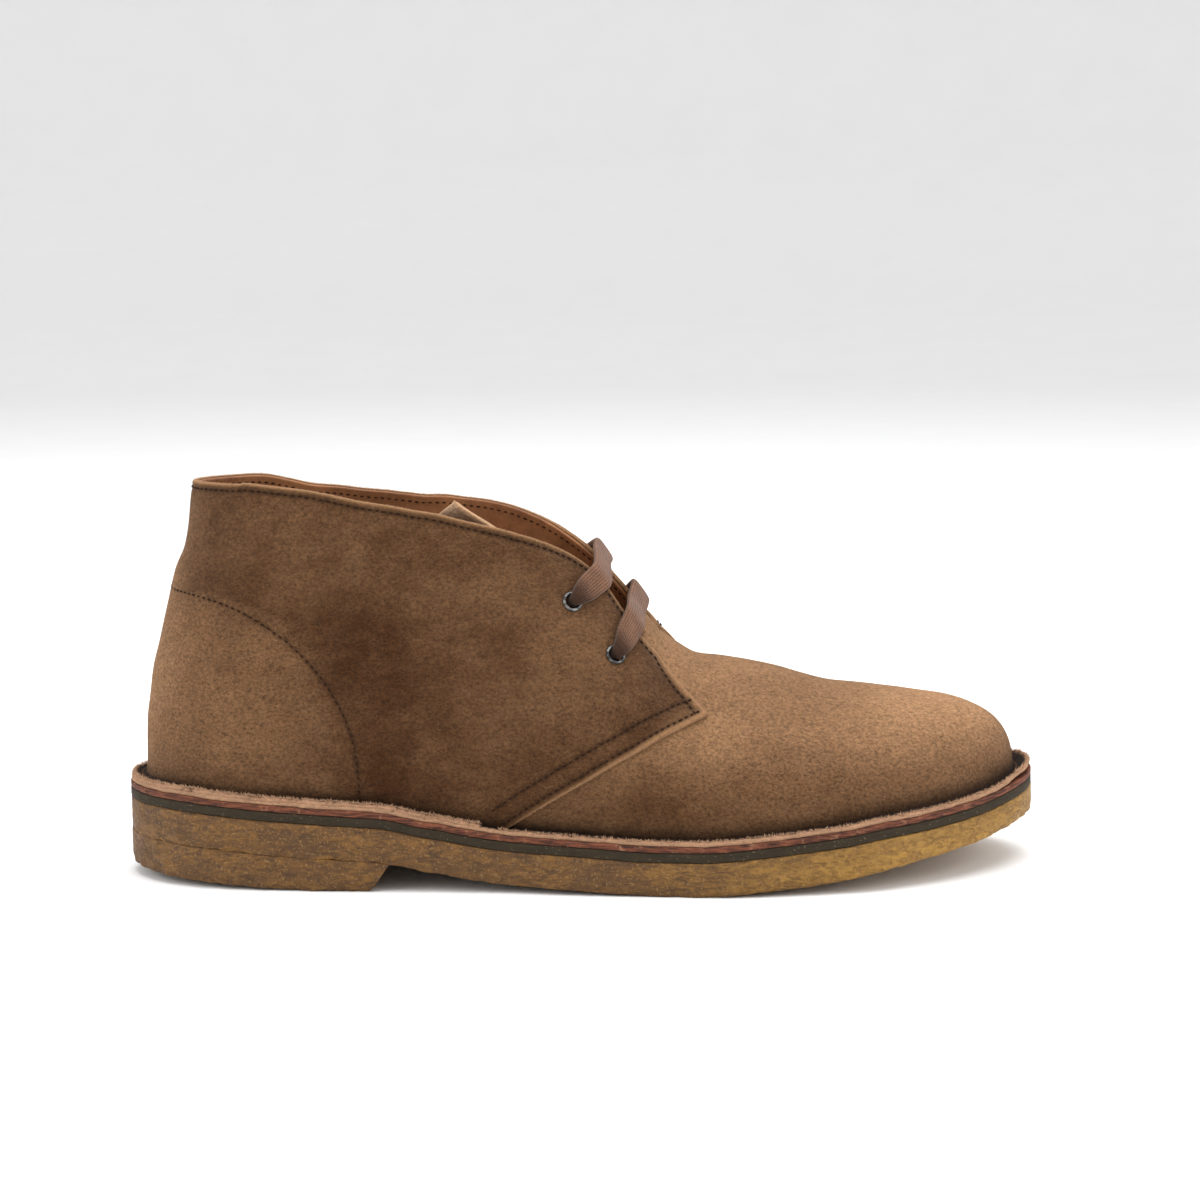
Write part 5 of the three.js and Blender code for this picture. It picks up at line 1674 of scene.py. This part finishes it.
# %% Finishes and slots of the pieces
DRESSING = [
    (quarters, "suede", "suede", ["upper"]), (vamp, "suede", "suede", ["upper"]),
    (vamp_turn, "turned_suede", "suede", ["upper"]), (quarter_turn, "turned_suede", "suede", ["upper"]),
    (lining, "lining_leather", "lining_leather", ["upper"]),
    (quarter_thread, "dark_thread", "suede", ["upper"]), (lining_thread, "dark_thread", "suede", ["upper"]),
    (rim_thread, "tan_thread", "suede", ["upper"]), (rim_fray, "fibre", "suede", ["upper"]),
    (edge_fray, "fibre", "suede", ["upper"]), (suede_tongue, "tongue_suede", "suede", ["tongue"]),
    (insole, "lining_leather", "lining_leather", ["insole"]),
    (welt, "sheet_leather", "welt_leather", ["welt"]),
    (midsole, "sheet_rubber", "midsole_rubber", ["midsole"]),
    (outsole, "crepe_rubber", "crepe", ["crepe_outsole"]), (heel, "crepe_rubber", "crepe", ["crepe_heel"]),
    (laces["lower"], "lace_cotton", "lace_cotton", ["lace_bar_lower"]),
    (laces["upper"], "lace_cotton", "lace_cotton", ["lace_bar_upper"]),
]
DRESSING += [(ring, "eyelet_metal", "eyelet_metal", [name]) for name, ring in eyelets.items()]

for piece, finish, slot, nodes in DRESSING:
    piece.data.materials.clear()
    piece.data.materials.append(finishes[finish])
    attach(piece, "root")
    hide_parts(*nodes)
print("pieces:", len(DRESSING))

# %% [markdown]
# ## Floor and light
# The photograph has a plain white ground and soft light from above and in front. The floor is a wide
# round sheet that rises at its rim, three large lamps give the light, and a pale sky fills the shadows.

# %% A seamless round backdrop
BACKDROP = [  # radius and height in metres, from the centre out
    (1.0, 0.0), (2.4, 0.0), (2.9, 0.07), (3.3, 0.28), (3.6, 0.62), (3.75, 1.1), (3.8, 2.2),
]
BACKDROP_SIDES = 96
turn = np.linspace(0, 2 * np.pi, BACKDROP_SIDES, endpoint=False)
rings = [[(r * math.cos(a), r * math.sin(a), z) for a in turn] for r, z in BACKDROP]
vertices = [(0, 0, 0)] + [point for ring in rings for point in ring]
faces = [(0, 1 + i, 1 + (i + 1) % BACKDROP_SIDES) for i in range(BACKDROP_SIDES)]
for k in range(len(rings) - 1):
    low, high = 1 + k * BACKDROP_SIDES, 1 + (k + 1) * BACKDROP_SIDES
    for i in range(BACKDROP_SIDES):
        j = (i + 1) % BACKDROP_SIDES
        faces.append((low + i, high + i, high + j, low + j))
floor_mesh = bpy.data.meshes.new("floor")
floor_mesh.from_pydata(vertices, [], faces)
floor_mesh.polygons.foreach_set("use_smooth", [True] * len(floor_mesh.polygons))
floor = bpy.data.objects.new("floor", floor_mesh)
scene.collection.objects.link(floor)
pale = Finish("pale_floor", 0.9, Specular_IOR_Level=0.1)
pale.wear("Base Color", pale.mix(pale.noise(60, 2.0), (0.90, 0.90, 0.90, 1), (0.93, 0.93, 0.93, 1)))
floor_mesh.materials.append(pale.material)
print("backdrop:", len(floor_mesh.polygons), "faces")

# %% [markdown]
# ## Light
# The lamp above is the largest, so that shadows stay soft. One weaker lamp on each side in front keeps
# the toe and the heel from going dark.

# %% Lamps and sky
def lamp(name, place, aim, size, power):
    light = bpy.data.lights.new(name, "AREA")
    light.shape = "RECTANGLE"
    light.size, light.size_y = size
    light.energy = power
    made = bpy.data.objects.new(name, light)
    scene.collection.objects.link(made)
    direction = Vector(aim) - Vector(place)
    facing_boot = direction.to_track_quat("-Z", "Y").to_matrix().to_4x4()
    made.matrix_world = Matrix.Translation(place) @ facing_boot


LAMPS = [  # name, place, aim and size in metres, power in watts
    ("lamp_above", (0.1, 0.1, 1.4), (0.0, 0.0, 0.05), (1.6, 1.2), 24.0),
    ("lamp_toe", (1.3, -0.5, 0.8), (0.05, 0.0, 0.05), (0.9, 0.9), 8.0),
    ("lamp_heel", (-1.3, -0.5, 0.7), (-0.05, 0.0, 0.05), (0.9, 0.9), 8.5),
]
for row in LAMPS:
    lamp(*row)
world = bpy.data.worlds.new("pale_sky")
world.use_nodes = True
world.node_tree.nodes["Background"].inputs["Color"].default_value = (1, 1, 1, 1)
world.node_tree.nodes["Background"].inputs["Strength"].default_value = 0.75
scene.world = world
scene.view_settings.view_transform = "Standard"
print("lamps and sky are set")
